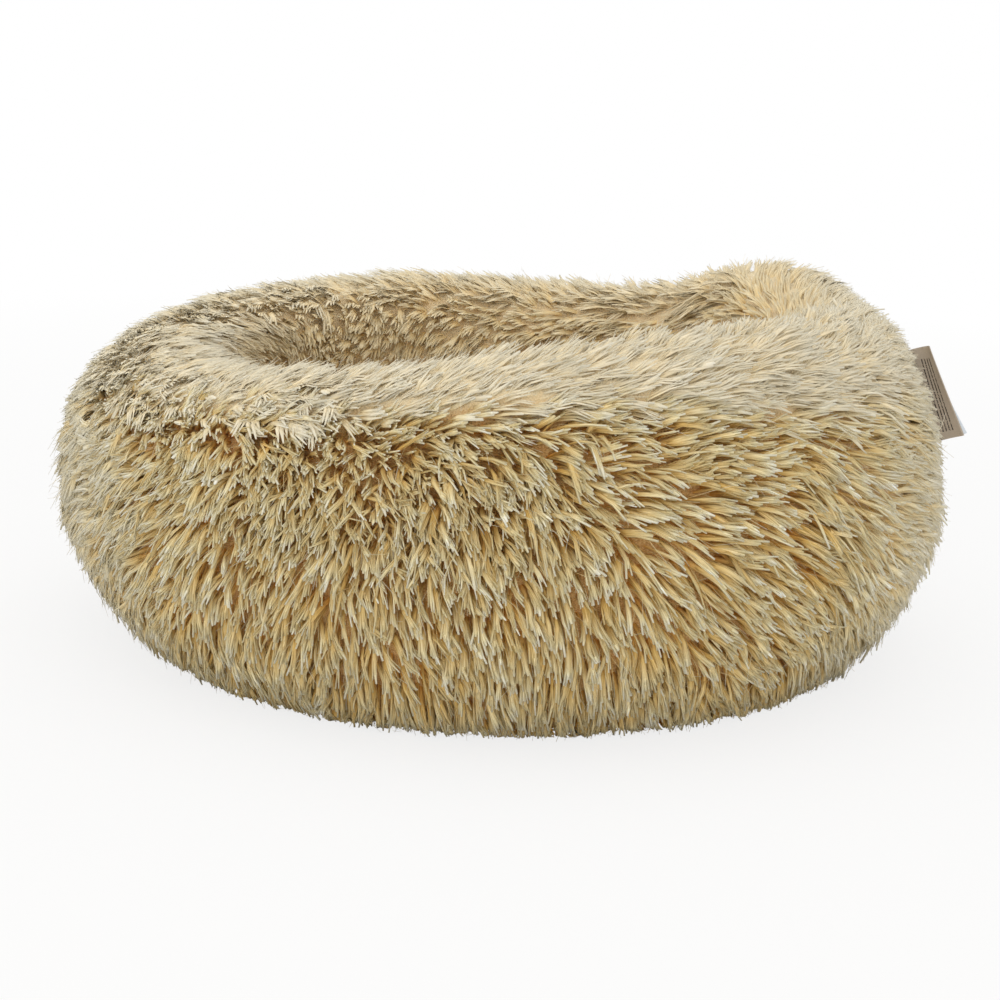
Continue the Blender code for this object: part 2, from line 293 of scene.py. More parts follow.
# %% Lamps
def soft_lamp(name, place, aim_at, size, watts):
    bpy.ops.object.light_add(type="AREA", location=place)
    lamp = bpy.context.object
    lamp.name = name
    lamp.data.shape = "DISK"
    lamp.data.size = size
    lamp.data.energy = watts
    turn = (Vector(aim_at) - Vector(place)).to_track_quat("-Z", "Y")
    lamp.rotation_mode = "QUATERNION"
    lamp.rotation_quaternion = turn
    print(name, size, "m wide,", watts, "W")


soft_lamp("overhead_lamp", (-0.1, -0.25, 1.9), (0.0, 0.0, 0.05), 2.2, 8.5)
soft_lamp("front_lamp", (-0.5, -2.1, 1.0), (0.0, 0.0, 0.10), 1.4, 5.0)

# %% [markdown]
# ## Floor
# A wide disc stands for the table. It is pale and takes the bed's shadow. To the camera it glows
# more and more towards its rim, so that it runs into the white world with no horizon.

# %% Pale floor
FLOOR_RADIUS = 6.0
NEAR_WHITE = 0.80
WHITENS_FROM, WHITENS_TO = 0.5, 1.6

bpy.ops.mesh.primitive_circle_add(vertices=64, radius=FLOOR_RADIUS, fill_type="NGON")
floor = bpy.context.object
floor.name = "studio_floor"
floor_paint = Paint("pale_floor", roughness=0.9)
floor_paint.set(Base_Color=(0.86, 0.86, 0.86), Specular_IOR_Level=0.1)
away = floor_paint.node(
    "ShaderNodeVectorMath", {"operation": "LENGTH"}, {0: floor_paint.place()}, output="Value"
)
whiteness = floor_paint.node(
    "ShaderNodeMapRange", None,
    {"Value": away, "From Min": WHITENS_FROM, "From Max": WHITENS_TO, "To Min": NEAR_WHITE,
     "To Max": 1.0},
)
glow = floor_paint.node("ShaderNodeEmission", None, {"Color": CAMERA_WHITE, "Strength": 1.0})
either_floor = floor_paint.node(
    "ShaderNodeMixShader", None,
    {0: shows_background(floor_paint) * whiteness,
     1: Wire(floor_paint, floor_paint.shader.outputs[0]), 2: glow},
)
floor_paint.feed(floor_paint.tree.nodes["Material Output"].inputs["Surface"], either_floor)
floor.data.materials.append(floor_paint.material)
print("floor", 2 * FLOOR_RADIUS, "m across")

# %% [markdown]
# ## The wall's shape
# Every place on the wall is given by three numbers: the angle round the bed, the turn round the
# stuffed ring's section (0 points outwards, 90 is the crest, 180 the inside), and how deep it lies
# under the tips of the pile. The same formulas shaped the CAD solids, so the cloth and the roots of
# the pile land where the solids are.

# %% Sizes of the wall
BED_RADIUS = 0.250
WALL_HEIGHT = 0.184
WALL_WIDTH = 0.112
WIDEST_HEIGHT = 0.085
FLOOR_SINK = 0.009
CREST_RADIUS = BED_RADIUS - WALL_WIDTH / 2
INNER_RADIUS = BED_RADIUS - WALL_WIDTH
BACKING = 0.0015
PILE_STAND = 0.020
SEAM_THICKNESS = 0.004
PRESSED_PILE = 0.004
BASE_SEAM_TURN = -80.0
CREST_SEAM_TURN = 68.0
PAD_SEAM_TURN = 233.0
SEAM_TAPER_TURN = 34.0
print("ring", 2 * BED_RADIUS, "m across and", WALL_HEIGHT, "m high")


# %% Small curves that many formulas use
def rounded(value, share):
    return np.sign(value) * np.abs(value) ** share


def smooth(share):
    """An S from 0 to 1."""
    share = np.clip(share, 0.0, 1.0)
    return share * share * (3.0 - 2.0 * share)


def bell(value, middle, spread):
    return np.exp(-(((value - middle) / spread) ** 2))


def wrapped(turn):
    return (turn + 180.0) % 360.0 - 180.0


# %% [markdown]
# ## Loose filling makes the ring uneven
# Handling has pushed the fibre to one side. The wall is higher and wider at the right, with a hump
# behind it, a little higher again at two opposite places, slightly oval, and tucked in at the foot
# of its slack left side. Each of these is one term: how much, and towards which angle.

# %% Unevenness of the ring
FULL_SIDE_RISE, FULL_SIDE_TURN = 0.0115, -16.0
CROSS_RISE, CROSS_TURN = 0.0086, 123.0
HUMP_RISE, HUMP_TURN, HUMP_SPREAD_TURN = 0.0265, 30.0, 23.0
RISE_START_SHARE = 0.60
OVAL_SPREAD, OVAL_TURN = 0.009, -29.0
FULL_SIDE_SWELL, SWELL_TURN = 0.016, -35.0
FOOT_TUCK, FOOT_TUCK_TURN = 0.036, -115.0
RISE_POWER = 1.5
TUCK_POWER = 1.5


def towards(degrees, turn, times=1.0):
    """1 on the side that turn names, falling to -1 on the opposite one."""
    return np.cos(times * np.radians(degrees - turn))


def settle(radius, angle, height):
    """Moves places of a perfect ring to where the uneven filling has pushed them."""
    degrees = np.degrees(angle)
    high = np.clip(height / WALL_HEIGHT, 0.0, 1.0)
    rise = FULL_SIDE_RISE * towards(degrees, FULL_SIDE_TURN)
    rise = rise + CROSS_RISE * towards(degrees, CROSS_TURN, 2.0)
    rise = rise + HUMP_RISE * bell(wrapped(degrees - HUMP_TURN), 0.0, HUMP_SPREAD_TURN)
    start = INNER_RADIUS * RISE_START_SHARE
    rise = rise * smooth((radius - start) / (CREST_RADIUS - start))
    outer = OVAL_SPREAD * towards(degrees, OVAL_TURN, 2.0)
    inner = outer - FULL_SIDE_SWELL * towards(degrees, SWELL_TURN)
    across = (radius - INNER_RADIUS) / WALL_WIDTH
    ring = inner + (outer - inner) * np.minimum(across, 1.0)
    shift = np.where(across < 0.0, inner * (radius / INNER_RADIUS) ** 2, ring)
    shift = shift * np.sin(np.pi * high) ** 2
    tuck = FOOT_TUCK / 2 * (1.0 + towards(degrees, FOOT_TUCK_TURN))
    low = np.clip(1.0 - height / WIDEST_HEIGHT, 0.0, 1.0)
    shift = shift - tuck * low**TUCK_POWER * np.clip(across, 0.0, 1.0)
    radius = radius + shift
    return np.stack(
        [radius * np.cos(angle), radius * np.sin(angle), height + rise * high**RISE_POWER], -1
    )


print("rise at the hump:", settle(CREST_RADIUS, np.radians(HUMP_TURN), WALL_HEIGHT)[2].round(3))

# %% [markdown]
# ## The section of the ring
# Cut through, the wall is a rounded box that stands flat on the floor: a circle whose sine and
# cosine are raised to a power below 1. The plush is thick along the wall and thins out to its
# seams.

# %% Section and depth of the plush
ROUNDNESS_SHARE = 0.85


def section(turn, inset):
    """Radius and height on the unsettled ring; turn in degrees."""
    reach = rounded(np.cos(np.radians(turn)), ROUNDNESS_SHARE)
    lift = rounded(np.sin(np.radians(turn)), ROUNDNESS_SHARE)
    radius = CREST_RADIUS + (WALL_WIDTH / 2 - inset) * reach
    above = WIDEST_HEIGHT + (WALL_HEIGHT - WIDEST_HEIGHT - inset) * lift
    below = WIDEST_HEIGHT + (WIDEST_HEIGHT + FLOOR_SINK - inset) * lift
    height = np.where(lift >= 0.0, above, below)
    return radius, np.maximum(height, np.minimum(inset, PRESSED_PILE))


def plush_depth(turn):
    """How deep the back of the cloth lies under the tips."""
    to_seam = np.minimum(turn - BASE_SEAM_TURN, PAD_SEAM_TURN - turn)
    share = smooth(to_seam / SEAM_TAPER_TURN)
    return SEAM_THICKNESS + (BACKING + PILE_STAND - SEAM_THICKNESS) * share


def root_depth(turn):
    return plush_depth(turn) - BACKING


def wall_place(angle, turn, inset):
    radius, height = section(turn, inset)
    return settle(radius, angle, height)


print("plush at the widest place:", round(float(plush_depth(0.0)), 4), "m deep")

# %% [markdown]
# ## Measuring along the cloth
# Locks are planted in millimetres along the cloth, but the section is given by its turn. A fine
# table of arc lengths, walked once, turns one into the other.

# %% Turn and length along the cloth
TURNS = np.linspace(BASE_SEAM_TURN, PAD_SEAM_TURN, 1600)
root_radius, root_height = section(TURNS, root_depth(TURNS))
ARCS = np.concatenate(
    [[0.0], np.cumsum(np.hypot(np.diff(root_radius), np.diff(root_height)))]
)


def turn_at(arc):
    return np.interp(arc, ARCS, TURNS)


def arc_at(turn):
    return np.interp(turn, TURNS, ARCS)


print("cloth from base seam to pad seam:", round(ARCS[-1] * 1000), "mm")

# %% [markdown]
# ## Where the pile is tousled, soft or short
# Four formulas describe the state of the pile at a place. It is tousled in the upper middle of the
# front, where short locks stand every way and the knit shows between them. It is soft on the rim,
# inside and towards the back, where the fibres are combed out, lie close and hide the ground. The
# line between the two is the parting. At the left end the pile was pressed and stayed short.

# %% State of the pile
TOUSLED_X, TOUSLED_X_SPREAD = -0.045, 0.075
TOUSLED_TURN, TOUSLED_TURN_SPREAD = 28.0, 26.0
TOUSLED_LEAST, TOUSLED_LEFT = 0.06, 0.30
PARTING_TURN, PARTING_FALL = 57.0, 14.0
SOFT_SIDES, SOFT_LOST_INSIDE = 0.6, 0.3


def tousled(places, turn):
    """From 0, sleek, to 1, where the locks stand every way."""
    x, y = places[..., 0], places[..., 1]
    front = smooth(-y / 0.12) * smooth((74.0 - turn) / 20.0)
    middle = bell(x, TOUSLED_X, TOUSLED_X_SPREAD) * bell(turn, TOUSLED_TURN, TOUSLED_TURN_SPREAD)
    left = TOUSLED_LEFT * smooth((0.02 - x) / 0.10)
    return np.clip(front * np.maximum(middle, left) + TOUSLED_LEAST, 0.0, 1.0)


def parting_turn(places):
    """The turn at which the pile that hangs down the front meets the pile combed over the rim."""
    return PARTING_TURN - PARTING_FALL * smooth((places[..., 0] - 0.02) / 0.14)


def softness(places, turn):
    """From 0 below the rim's parting to 1 on the rim, inside, and towards the back."""
    over_rim = smooth((turn - parting_turn(places)) / 14.0 + 0.5)
    back = smooth((places[..., 1] + 0.04) / 0.12)
    sides = SOFT_SIDES * smooth((np.abs(places[..., 0]) - 0.14) / 0.09)
    hollow = 1.0 - SOFT_LOST_INSIDE * smooth((turn - 100.0) / 26.0)
    return np.clip(np.maximum(np.maximum(over_rim, back), sides) * hollow, 0.0, 1.0)


def flattened(places, turn):
    """1 where the left end of the bed was pressed against its box and the pile stayed short."""
    return smooth((-places[..., 0] - 0.17) / 0.05) * bell(turn, 5.0, 32.0)


def insideness(turn):
    """From 0 on the outside to 1 in the hollow, where the light that comes back is golden."""
    return smooth((turn - 90.0) / 24.0)


front_middle = wall_place(np.radians(260.0), 28.0, 0.0)
print("tousled in the front's middle:", round(float(tousled(front_middle, 28.0)), 2))

# %% [markdown]
# ## The cloth under the pile
# The plush is knitted, and short crimped fibres fill the bottom of its pile like felt. Where locks
# part, this golden ground shows with the loops of the knit. Each strip is a closed profile that is
# spun once round the bed and then settled to the uneven shape, which is how one would turn such a
# ring by hand. Every turned piece keeps a map in metres, so that a weave or knit follows the cloth.

# %% Spin a profile round the bed
AROUND_STEPS = 200
INNER_STEPS = 160


def spun(name, profile, steps):
    """A closed loop of (radius, height) points, spun once round the bed's axis."""
    bpy.ops.object.select_all(action="DESELECT")
    bpy.ops.mesh.primitive_circle_add(vertices=len(profile), radius=0.01)
    piece = bpy.context.object
    piece.name = piece.data.name = name
    bpy.ops.object.mode_set(mode="EDIT")
    edit = bmesh.from_edit_mesh(piece.data)
    for vertex, (radius, height) in zip(edit.verts, profile):
        vertex.co = (radius, 0.0, height)
    bmesh.update_edit_mesh(piece.data)
    bpy.ops.mesh.select_all(action="SELECT")
    bpy.ops.mesh.spin(steps=steps, angle=math.tau, center=(0, 0, 0), axis=(0, 0, 1))
    bpy.ops.mesh.select_all(action="SELECT")
    bpy.ops.mesh.remove_doubles(threshold=1e-6)
    bpy.ops.mesh.delete_loose(use_verts=True, use_edges=True, use_faces=False)
    bpy.ops.mesh.select_all(action="SELECT")
    bpy.ops.mesh.normals_make_consistent(inside=False)
    bpy.ops.object.mode_set(mode="OBJECT")
    return piece


print("a full turn takes", AROUND_STEPS, "steps, or", INNER_STEPS, "inside the bed")


# %% A map in metres for a turned piece
def unbroken(values, face, turnover):
    """Values at face corners, where no face may reach over the place where counting restarts."""
    most = np.full(face[-1] + 1, -9.0)
    np.maximum.at(most, face, values)
    return values + np.where(most[face] - values > turnover / 2, turnover, 0.0), most[face]


def map_turned(mesh, radius, angle, along, around):
    """u runs round the bed and v along the profile; along and around tell where v restarts."""
    corner = np.empty(len(mesh.loops), int)
    mesh.loops.foreach_get("vertex_index", corner)
    counts = np.empty(len(mesh.polygons), int)
    mesh.polygons.foreach_get("loop_total", counts)
    face = np.repeat(np.arange(len(counts)), counts)
    corner_angle, most = unbroken(angle[corner], face, math.tau)
    corner_angle = np.where(radius[corner] < 1e-5, most, corner_angle)
    v, _ = unbroken(along[corner], face, around)
    uv = mesh.uv_layers.new(name="cloth")
    uv.data.foreach_set("uv", np.stack([corner_angle * CREST_RADIUS, v], 1).ravel())


# %% Turned pieces
def coordinates(mesh):
    co = np.empty(len(mesh.vertices) * 3)
    mesh.vertices.foreach_get("co", co)
    return co.reshape(-1, 3)


def turned(name, profile, place, steps=AROUND_STEPS):
    """A spun piece, laid by place(radius, angle, nearest profile point), with its softness."""
    piece = spun(name, profile, steps)
    mesh = piece.data
    co = coordinates(mesh)
    radius, angle = np.hypot(co[:, 0], co[:, 1]), np.arctan2(co[:, 1], co[:, 0])
    loop = np.array(profile)
    along = np.cumsum(np.hypot(*(loop - np.roll(loop, 1, 0)).T))
    nearest = np.argmin(
        (co[:, None, 2] - loop[None, :, 1]) ** 2 + (radius[:, None] - loop[None, :, 0]) ** 2, 1
    )
    map_turned(mesh, radius, angle, along[nearest], along[-1])
    places, soft = place(radius, angle, nearest)
    mesh.vertices.foreach_set("co", places.ravel())
    kept = mesh.attributes.new("softness", "FLOAT", "POINT")
    kept.data.foreach_set("value", soft.astype(np.float32))
    mesh.update()
    pick(piece)
    bpy.ops.object.shade_smooth()
    return piece


# %% [markdown]
# ## Unevenness from waves
# Nothing on a stuffed bed is quite even. A few waves in random directions, added up, give a smooth
# value at every place in space, with no seam. The same seed gives the same waves each time.

# %% Waves through space
def rolling(place, seed, reach):
    """Smooth unevenness, mostly between -1 and 1, from a few waves through space."""
    waves = np.random.default_rng(seed)
    total = np.zeros(place.shape[:-1])
    for _ in range(6):
        direction = waves.normal(size=3)
        direction = direction / np.linalg.norm(direction)
        length = reach * waves.uniform(0.7, 1.6)
        total = total + np.sin(place @ direction * math.tau / length + waves.uniform(0, 6.3))
    return total / 2.6


print("a wave 50 mm long, at the middle:", rolling(np.zeros(3), 1, 0.050).round(2))

# %% [markdown]
# ## Two strips of plush
# The locks grow out of a felted foot, and between them the eye sees ground a little higher than
# that: higher where the pile is soft and dense, lower where it is tousled. The strip's front is
# that ground and its back is the knit, so the strip is a closed solid that swells and thins.

# %% Wall cloth
STEM_SHARE = 0.70
GROUND_SHARE, SOFT_GROUND, FLAT_GROUND = 0.58, 0.40, 0.26
FRONT_STEP_TURN, BACK_STEP_TURN = 2.2, 6.0
GROUND_LUMP = 0.0007
SEAM_SLOT_TURN = 0.4


def stem_depth(turn):
    """How deep under the tips the locks come out of the felted foot of the pile."""
    return root_depth(turn) * STEM_SHARE


def ground_depth(outline, turn):
    """How deep under the tips the eye still sees ground between the locks."""
    share = GROUND_SHARE - SOFT_GROUND * softness(outline, turn)
    return root_depth(turn) * (share + FLAT_GROUND * flattened(outline, turn))


def wall_strip(name, low, high):
    """One strip of plush without its locks: felted front, knitted back."""
    front = np.linspace(low, high, int(abs(high - low) / FRONT_STEP_TURN))
    back = np.linspace(high, low, int(abs(high - low) / BACK_STEP_TURN))
    turns = np.concatenate([front, back])
    is_front = np.arange(len(turns)) < len(front)
    depths = np.where(is_front, stem_depth(turns), plush_depth(turns))
    profile = [(float(r), float(z)) for r, z in zip(*section(turns, depths))]

    def place(radius, angle, nearest):
        turn = turns[nearest]
        outline = wall_place(angle, turn, 0.0 * turn)
        ground = ground_depth(outline, turn) + GROUND_LUMP * rolling(outline, 61, 0.014)
        inset = np.where(is_front[nearest], ground, plush_depth(turn))
        return wall_place(angle, turn, inset), softness(outline, turn)

    return turned(name, profile, place)


outer_backing = wall_strip(
    "outer_wall_cloth", BASE_SEAM_TURN, CREST_SEAM_TURN - SEAM_SLOT_TURN
)
inner_backing = wall_strip(
    "inner_wall_cloth", CREST_SEAM_TURN + SEAM_SLOT_TURN, PAD_SEAM_TURN - SEAM_SLOT_TURN
)
print("wall cloth faces:", len(outer_backing.data.polygons), len(inner_backing.data.polygons))

# %% [markdown]
# ## The sleeping pad's cloth
# The pad is a flat cushion sewn into the bottom of the ring, domed in the middle and drawn down to
# its seam at the edge.

# %% Pad cloth
FIT_GAP = 0.0003
BASE_THICKNESS = 0.0015
INSIDE_FLOOR = BASE_THICKNESS + FIT_GAP
PAD_RADIUS = INNER_RADIUS - 0.0005
PAD_HEIGHT = 0.050
PAD_SIDE_HEIGHT = 0.022
PAD_PILE_STAND = 0.016
PAD_DRAWN_IN = 0.004
PAD_ROUNDNESS_SHARE = 0.80
PAD_SPREAD_POWER = 1.25
PAD_SOFTNESS = 0.8
PAD_LUMP = 0.0009
FLANGE_RADIUS = float(section(PAD_SEAM_TURN, SEAM_THICKNESS)[0])
FLANGE_TOP = float(section(PAD_SEAM_TURN, 0.0)[1]) - FIT_GAP


def pad_section(turn, inset):
    """Radius and height on the pad; turn is 0 at its middle and 90 at its side."""
    reach = rounded(np.sin(np.radians(turn)), PAD_ROUNDNESS_SHARE)
    lift = rounded(np.cos(np.radians(turn)), PAD_ROUNDNESS_SHARE)
    radius = (PAD_RADIUS - PAD_DRAWN_IN - inset) * reach
    return radius, PAD_SIDE_HEIGHT + (PAD_HEIGHT - PAD_SIDE_HEIGHT - inset) * lift


def pad_place(angle, radius_share, inset):
    turn = np.degrees(np.arcsin(np.clip(radius_share, 0.0, 1.0) ** PAD_SPREAD_POWER))
    radius, height = pad_section(turn, inset)
    return settle(radius, angle, height)


def pad_cloth():
    """The domed top, the drawn-in side, the flange under the wall, and back along the inside."""
    front = np.linspace(0.0, 84.0, 30)
    back = front[::-3]
    top = list(zip(*pad_section(front, PAD_PILE_STAND * STEM_SHARE)))
    under = list(zip(*pad_section(back, PAD_PILE_STAND + BACKING)))
    edge, inside = top[-1][0], under[0][0]
    profile = top + [
        (edge + 0.002, PAD_SIDE_HEIGHT * 0.5), (edge + 0.005, FLANGE_TOP + 0.001),
        (edge + 0.010, FLANGE_TOP), (FLANGE_RADIUS, FLANGE_TOP), (FLANGE_RADIUS, INSIDE_FLOOR),
        (inside, INSIDE_FLOOR),
    ] + under
    profile = [(float(radius), float(height)) for radius, height in profile]
    is_top = np.arange(len(profile)) < len(top)

    def place(radius, angle, nearest):
        places = settle(radius, angle, np.array(profile)[nearest, 1])
        places[:, 2] += np.where(is_top[nearest], PAD_LUMP * rolling(places, 63, 0.02), 0.0)
        return places, PAD_SOFTNESS + 0.0 * angle

    return turned("pad_cloth", profile, place)


pad_backing = pad_cloth()
print("pad cloth faces:", len(pad_backing.data.polygons))

# %% [markdown]
# ## Knitted backing finish
# The backing is a fine warp knit in the pile's dye; painted shade makes it darker, since light
# hardly reaches it.
# Zigzag lines across and along the map give columns of small V-shaped loops. Felted fibre hides
# them, wholly where the pile is soft.

# %% Knit material
LOOP_WIDTH = 0.0016
LOOP_HEIGHT = 0.0012


def knit_paint(name, thread, gap, combed_out):
    """Columns of small V-shaped loops, half hidden in felted fibre; the gaps between the loops get
    painted shade.
    """
    paint = Paint(name, roughness=0.9)
    place = paint.on_map("cloth")
    across = paint.axis(place)
    column = paint.noise(place, 90.0) * 1.2 + across * (1.0 / LOOP_WIDTH)
    row = across.other(1) * (1.0 / LOOP_HEIGHT) + column.zigzag() * 1.1
    loops = row.zigzag() * 1.3 + column.zigzag() * 0.9
    felt = paint.noise(place, 420.0, 4.0, 0.7)
    shade = loops * 0.75 + (felt - 0.5) * 2.2 + 0.15
    # The gap colour between the loops is painted shade.
    knitted = paint.mix(shade, gap, thread)
    felted = paint.mix(felt * 1.2 + 0.2, thread, combed_out)
    paint.set(
        Base_Color=paint.mix(paint.value("softness"), knitted, felted), Sheen_Weight=0.2,
        Specular_IOR_Level=0.2,
    )
    paint.bump(shade, 0.7, 0.0008)
    return paint.material


knit = knit_paint(
    "knitted_ground", linear(248, 208, 142), linear(212, 156, 88), linear(246, 232, 198)
)
finished(outer_backing, knit, ["outer_wall_cover"])
finished(inner_backing, knit, ["inner_wall_cover"])
finished(pad_backing, knit, ["pad_cover"])
print("three cloths have the knit")

# %% [markdown]
# ## The filling
# Under the cloth sits loose polyester fibre: a ring in the wall and a flat cushion in the pad. It
# presses into soft lumps, which are modelled by letting the turned surface sink in here and there.
# It never swells out, because the cloth around it holds it. A cloth simulation would only puff up a
# shape that the pile hides, so the lumps come from the waves above.

# %% Fillings
BINDING_WIDTH = 0.007
BINDING_THICKNESS = 0.0022
TAPE_THICKNESS = 0.0016
TAPE_CLEARANCE = 0.0006
BINDING_TOP = INSIDE_FLOOR + BINDING_THICKNESS
BASE_RADIUS = float(
    min(section(BASE_SEAM_TURN, 0.0)[0], section(BASE_SEAM_TURN, SEAM_THICKNESS)[0])
) - FIT_GAP
LUMP_DEPTH = 0.0035


def lumpy_filling(name, free, held, seed):
    """Free points of the outline may sink in towards its middle; held points stay."""
    outline = np.array(free + held, float)
    middle = outline.mean(0)
    toward = middle - outline
    toward = toward / np.linalg.norm(toward, axis=1, keepdims=True)
    sinks = np.arange(len(outline)) < len(free)
    toward[outline[:, 0] < FIT_GAP, 0] = 0.0

    def place(radius, angle, nearest):
        height = outline[nearest, 1]
        there = settle(radius, angle, height)
        lump = 0.5 + 0.35 * rolling(there, seed, 0.055)
        lump = lump + 0.15 * rolling(there, seed + 1, 0.015)
        sink = LUMP_DEPTH * np.clip(lump, 0.0, 1.0) * sinks[nearest]
        moved = radius + toward[nearest, 0] * sink, height + toward[nearest, 1] * sink
        return settle(moved[0], angle, moved[1]), 1.0 + 0.0 * angle

    return turned(name, [tuple(map(float, point)) for point in outline], place, INNER_STEPS)


# %% The ring in the wall and the cushion in the pad
FREE_TURNS = (-61.0, 213.0)
free_turns = np.linspace(*FREE_TURNS, 90)
free_depths = plush_depth(free_turns) + TAPE_THICKNESS + 2 * TAPE_CLEARANCE
free_radius, free_height = section(free_turns, free_depths)
free_height = np.maximum(free_height, BINDING_TOP + FIT_GAP)
held_inner = FLANGE_RADIUS + FIT_GAP + BINDING_WIDTH + FIT_GAP
held_outer = BASE_RADIUS - BINDING_WIDTH - FIT_GAP
wall_fibre = lumpy_filling(
    "wall_fibre_ring", list(zip(free_radius, free_height)),
    [(held_inner, BINDING_TOP + FIT_GAP), (held_inner, INSIDE_FLOOR),
     (held_outer, INSIDE_FLOOR), (held_outer, BINDING_TOP + FIT_GAP)], 81,
)
pad_turns = np.linspace(0.0, 90.0, 40)
pad_inset = PAD_PILE_STAND + BACKING + FIT_GAP
pad_free = list(zip(*pad_section(pad_turns, pad_inset)))
pad_fibre = lumpy_filling(
    "pad_fibre_cushion", pad_free, [(pad_free[-1][0], INSIDE_FLOOR), (0.0, INSIDE_FLOOR)], 83
)
print("filling faces:", len(wall_fibre.data.polygons), len(pad_fibre.data.polygons))

# %% [markdown]
# ## Fibre finish
# Wadding is white, and its hollows are painted soft grey, as painted shade. A coarse noise makes
# the wads and a fine one the strands.

# %% Fibre material
fibre_paint = Paint("polyester_fibre", roughness=0.95)
fibre_place = fibre_paint.place()
wads = fibre_paint.noise(fibre_place, 60.0, 4.0, 0.6)
strands = fibre_paint.noise(fibre_place, 900.0, 3.0, 0.7)
# The grey is painted shade in the hollows of the wads.
fibre_paint.set(
    Base_Color=fibre_paint.mix(
        wads * 0.7 + strands * 0.5 - 0.1, linear(222, 221, 216), linear(248, 248, 245)
    ),
    Sheen_Weight=0.3, Specular_IOR_Level=0.2,
)
fibre_paint.bump(wads + strands * 0.5, 0.6, 0.002)
for fibre, solid in ((wall_fibre, "wall_filling"), (pad_fibre, "pad_filling")):
    finished(fibre, fibre_paint.material, [solid])
print("two fillings are finished")

# %% [markdown]
# ## The base cloth
# The bed stands on a coated woven cloth, cut round and printed with rubber dots that grip the
# floor. The cloth is a thin turned disc.

# %% Base cloth
DOT_HEIGHT = 0.0006
BASE_RINGS = (0.0, 0.045, 0.09, 0.125, 0.138, 0.150, 0.162, 0.174, 0.184)
BASE_STEPS = 120


def base_cloth():
    across = [*BASE_RINGS, BASE_RADIUS]
    profile = [(radius, DOT_HEIGHT) for radius in across]
    profile += [(radius, BASE_THICKNESS) for radius in reversed(across)]

    def place(radius, angle, nearest):
        return settle(radius, angle, np.array(profile)[nearest, 1]), 0.0 * angle

    return turned("coated_base", profile, place, BASE_STEPS)


base = base_cloth()
print("base cloth:", round(2 * BASE_RADIUS, 3), "m across")


# %% [markdown]
# ## Copies of a small part
# What repeats by the hundred, a dot or a stitch, is modelled once. Its copies are laid by 4 x 4
# frames and joined in one mesh, so that each has its own faces.

# %% Merge copies
CREASE_TURN = 40.0


def merged_copies(name, model, frames):
    """One mesh made of copies of a modelled piece, each laid by its own 4 x 4 frame."""
    shape = np.array([(*vertex.co, 1.0) for vertex in model.data.vertices])
    faces = [tuple(polygon.vertices) for polygon in model.data.polygons]
    places = np.concatenate([shape @ np.array(frame).T[:, :3] for frame in frames])
    copies = [
        tuple(index + number * len(shape) for index in face)
        for number in range(len(frames)) for face in faces
    ]
    mesh = bpy.data.meshes.new(name)
    mesh.from_pydata(places.tolist(), [], copies)
    bpy.data.objects.remove(model)
    piece = bpy.data.objects.new(name, mesh)
    bpy.context.scene.collection.objects.link(piece)
    pick(piece)
    bpy.ops.object.shade_smooth_by_angle(angle=math.radians(CREASE_TURN))
    return piece


# %% Grip dots
DOT_SPACING = 0.012
ROW_SHARE = 0.87
DOT_RADIUS = 0.0011
DOT_RINGS = ((0.00022, 1.45), (0.0005, 1.12))
DOT_FACES = 14


def one_dot():
    """A six-sided dot that widens upwards and ends in the cloth; it stands on the floor."""
    bpy.ops.object.select_all(action="DESELECT")
    bpy.ops.mesh.primitive_circle_add(vertices=6, radius=DOT_RADIUS, fill_type="NGON")
    dot = bpy.context.object
    bpy.ops.object.mode_set(mode="EDIT")
    bpy.ops.mesh.select_all(action="SELECT")
    for lift, grow in DOT_RINGS:
        bpy.ops.mesh.extrude_region_move(TRANSFORM_OT_translate={"value": (0.0, 0.0, lift)})
        bpy.ops.transform.resize(value=(grow, grow, 1.0))
    bpy.ops.mesh.select_all(action="SELECT")
    bpy.ops.mesh.normals_make_consistent(inside=False)
    bpy.ops.object.mode_set(mode="OBJECT")
    return dot


def dot_frames():
    """Staggered rows over the whole cloth."""
    frames = []
    most = int(BASE_RADIUS / DOT_SPACING) + 1
    for row in range(-most, most + 1):
        for column in range(-most, most + 1):
            x = (column + 0.5 * (row % 2)) * DOT_SPACING
            y = row * DOT_SPACING * ROW_SHARE
            if math.hypot(x, y) < BASE_RADIUS - DOT_SPACING:
                frame_there = np.eye(4)
                frame_there[:2, 3] = settle(math.hypot(x, y), math.atan2(y, x), 0.0)[:2]
                frames.append(frame_there)
    return frames


dots = merged_copies("grip_dots", one_dot(), dot_frames())
print("grip dots:", len(dots.data.polygons) // DOT_FACES)

# %% [markdown]
# ## Base finish
# The coat is a dark grey, worn to a dull sheen, and the weave shows through it. The dots are nearly
# black rubber, slightly shinier.

# %% Base materials
WEAVE_THREADS = 1250.0

base_paint = Paint("coated_base_cloth", roughness=0.62)
base_spot = base_paint.place()
base_across = base_paint.axis(base_spot)
coat = base_paint.noise(base_spot, 140.0, 3.0)
weave = (base_across * WEAVE_THREADS).zigzag() + (base_across.other(1) * WEAVE_THREADS).zigzag()
base_paint.set(
    Base_Color=base_paint.mix(
        weave * 0.6 + coat * 0.5 - 0.1, linear(58, 55, 53), linear(96, 92, 89)
    ),
    Roughness=0.50 + coat * 0.25,
)
base_paint.bump(weave + coat * 0.3, 0.5, 0.0003)
dot_paint = Paint("grip_rubber", roughness=0.45)
cured = dot_paint.noise(dot_paint.place(), 500.0, 2.0)
dot_paint.set(
    Base_Color=dot_paint.mix(cured, linear(34, 34, 35), linear(52, 52, 54)),
    Roughness=0.38 + cured * 0.2,
)
dot_paint.bump(cured, 0.2, 0.0001)
finished(base, base_paint.material, ["base_cloth"])
finished(dots, dot_paint.material)
print("base cloth and dots are finished")

# %% [markdown]
# ## Tapes that bind the seams
# Inside the bed the raw edges of each seam are bound with a woven tape, held by a row of stitches.
# A flat ring or band with rounded edges is turned for each seam.

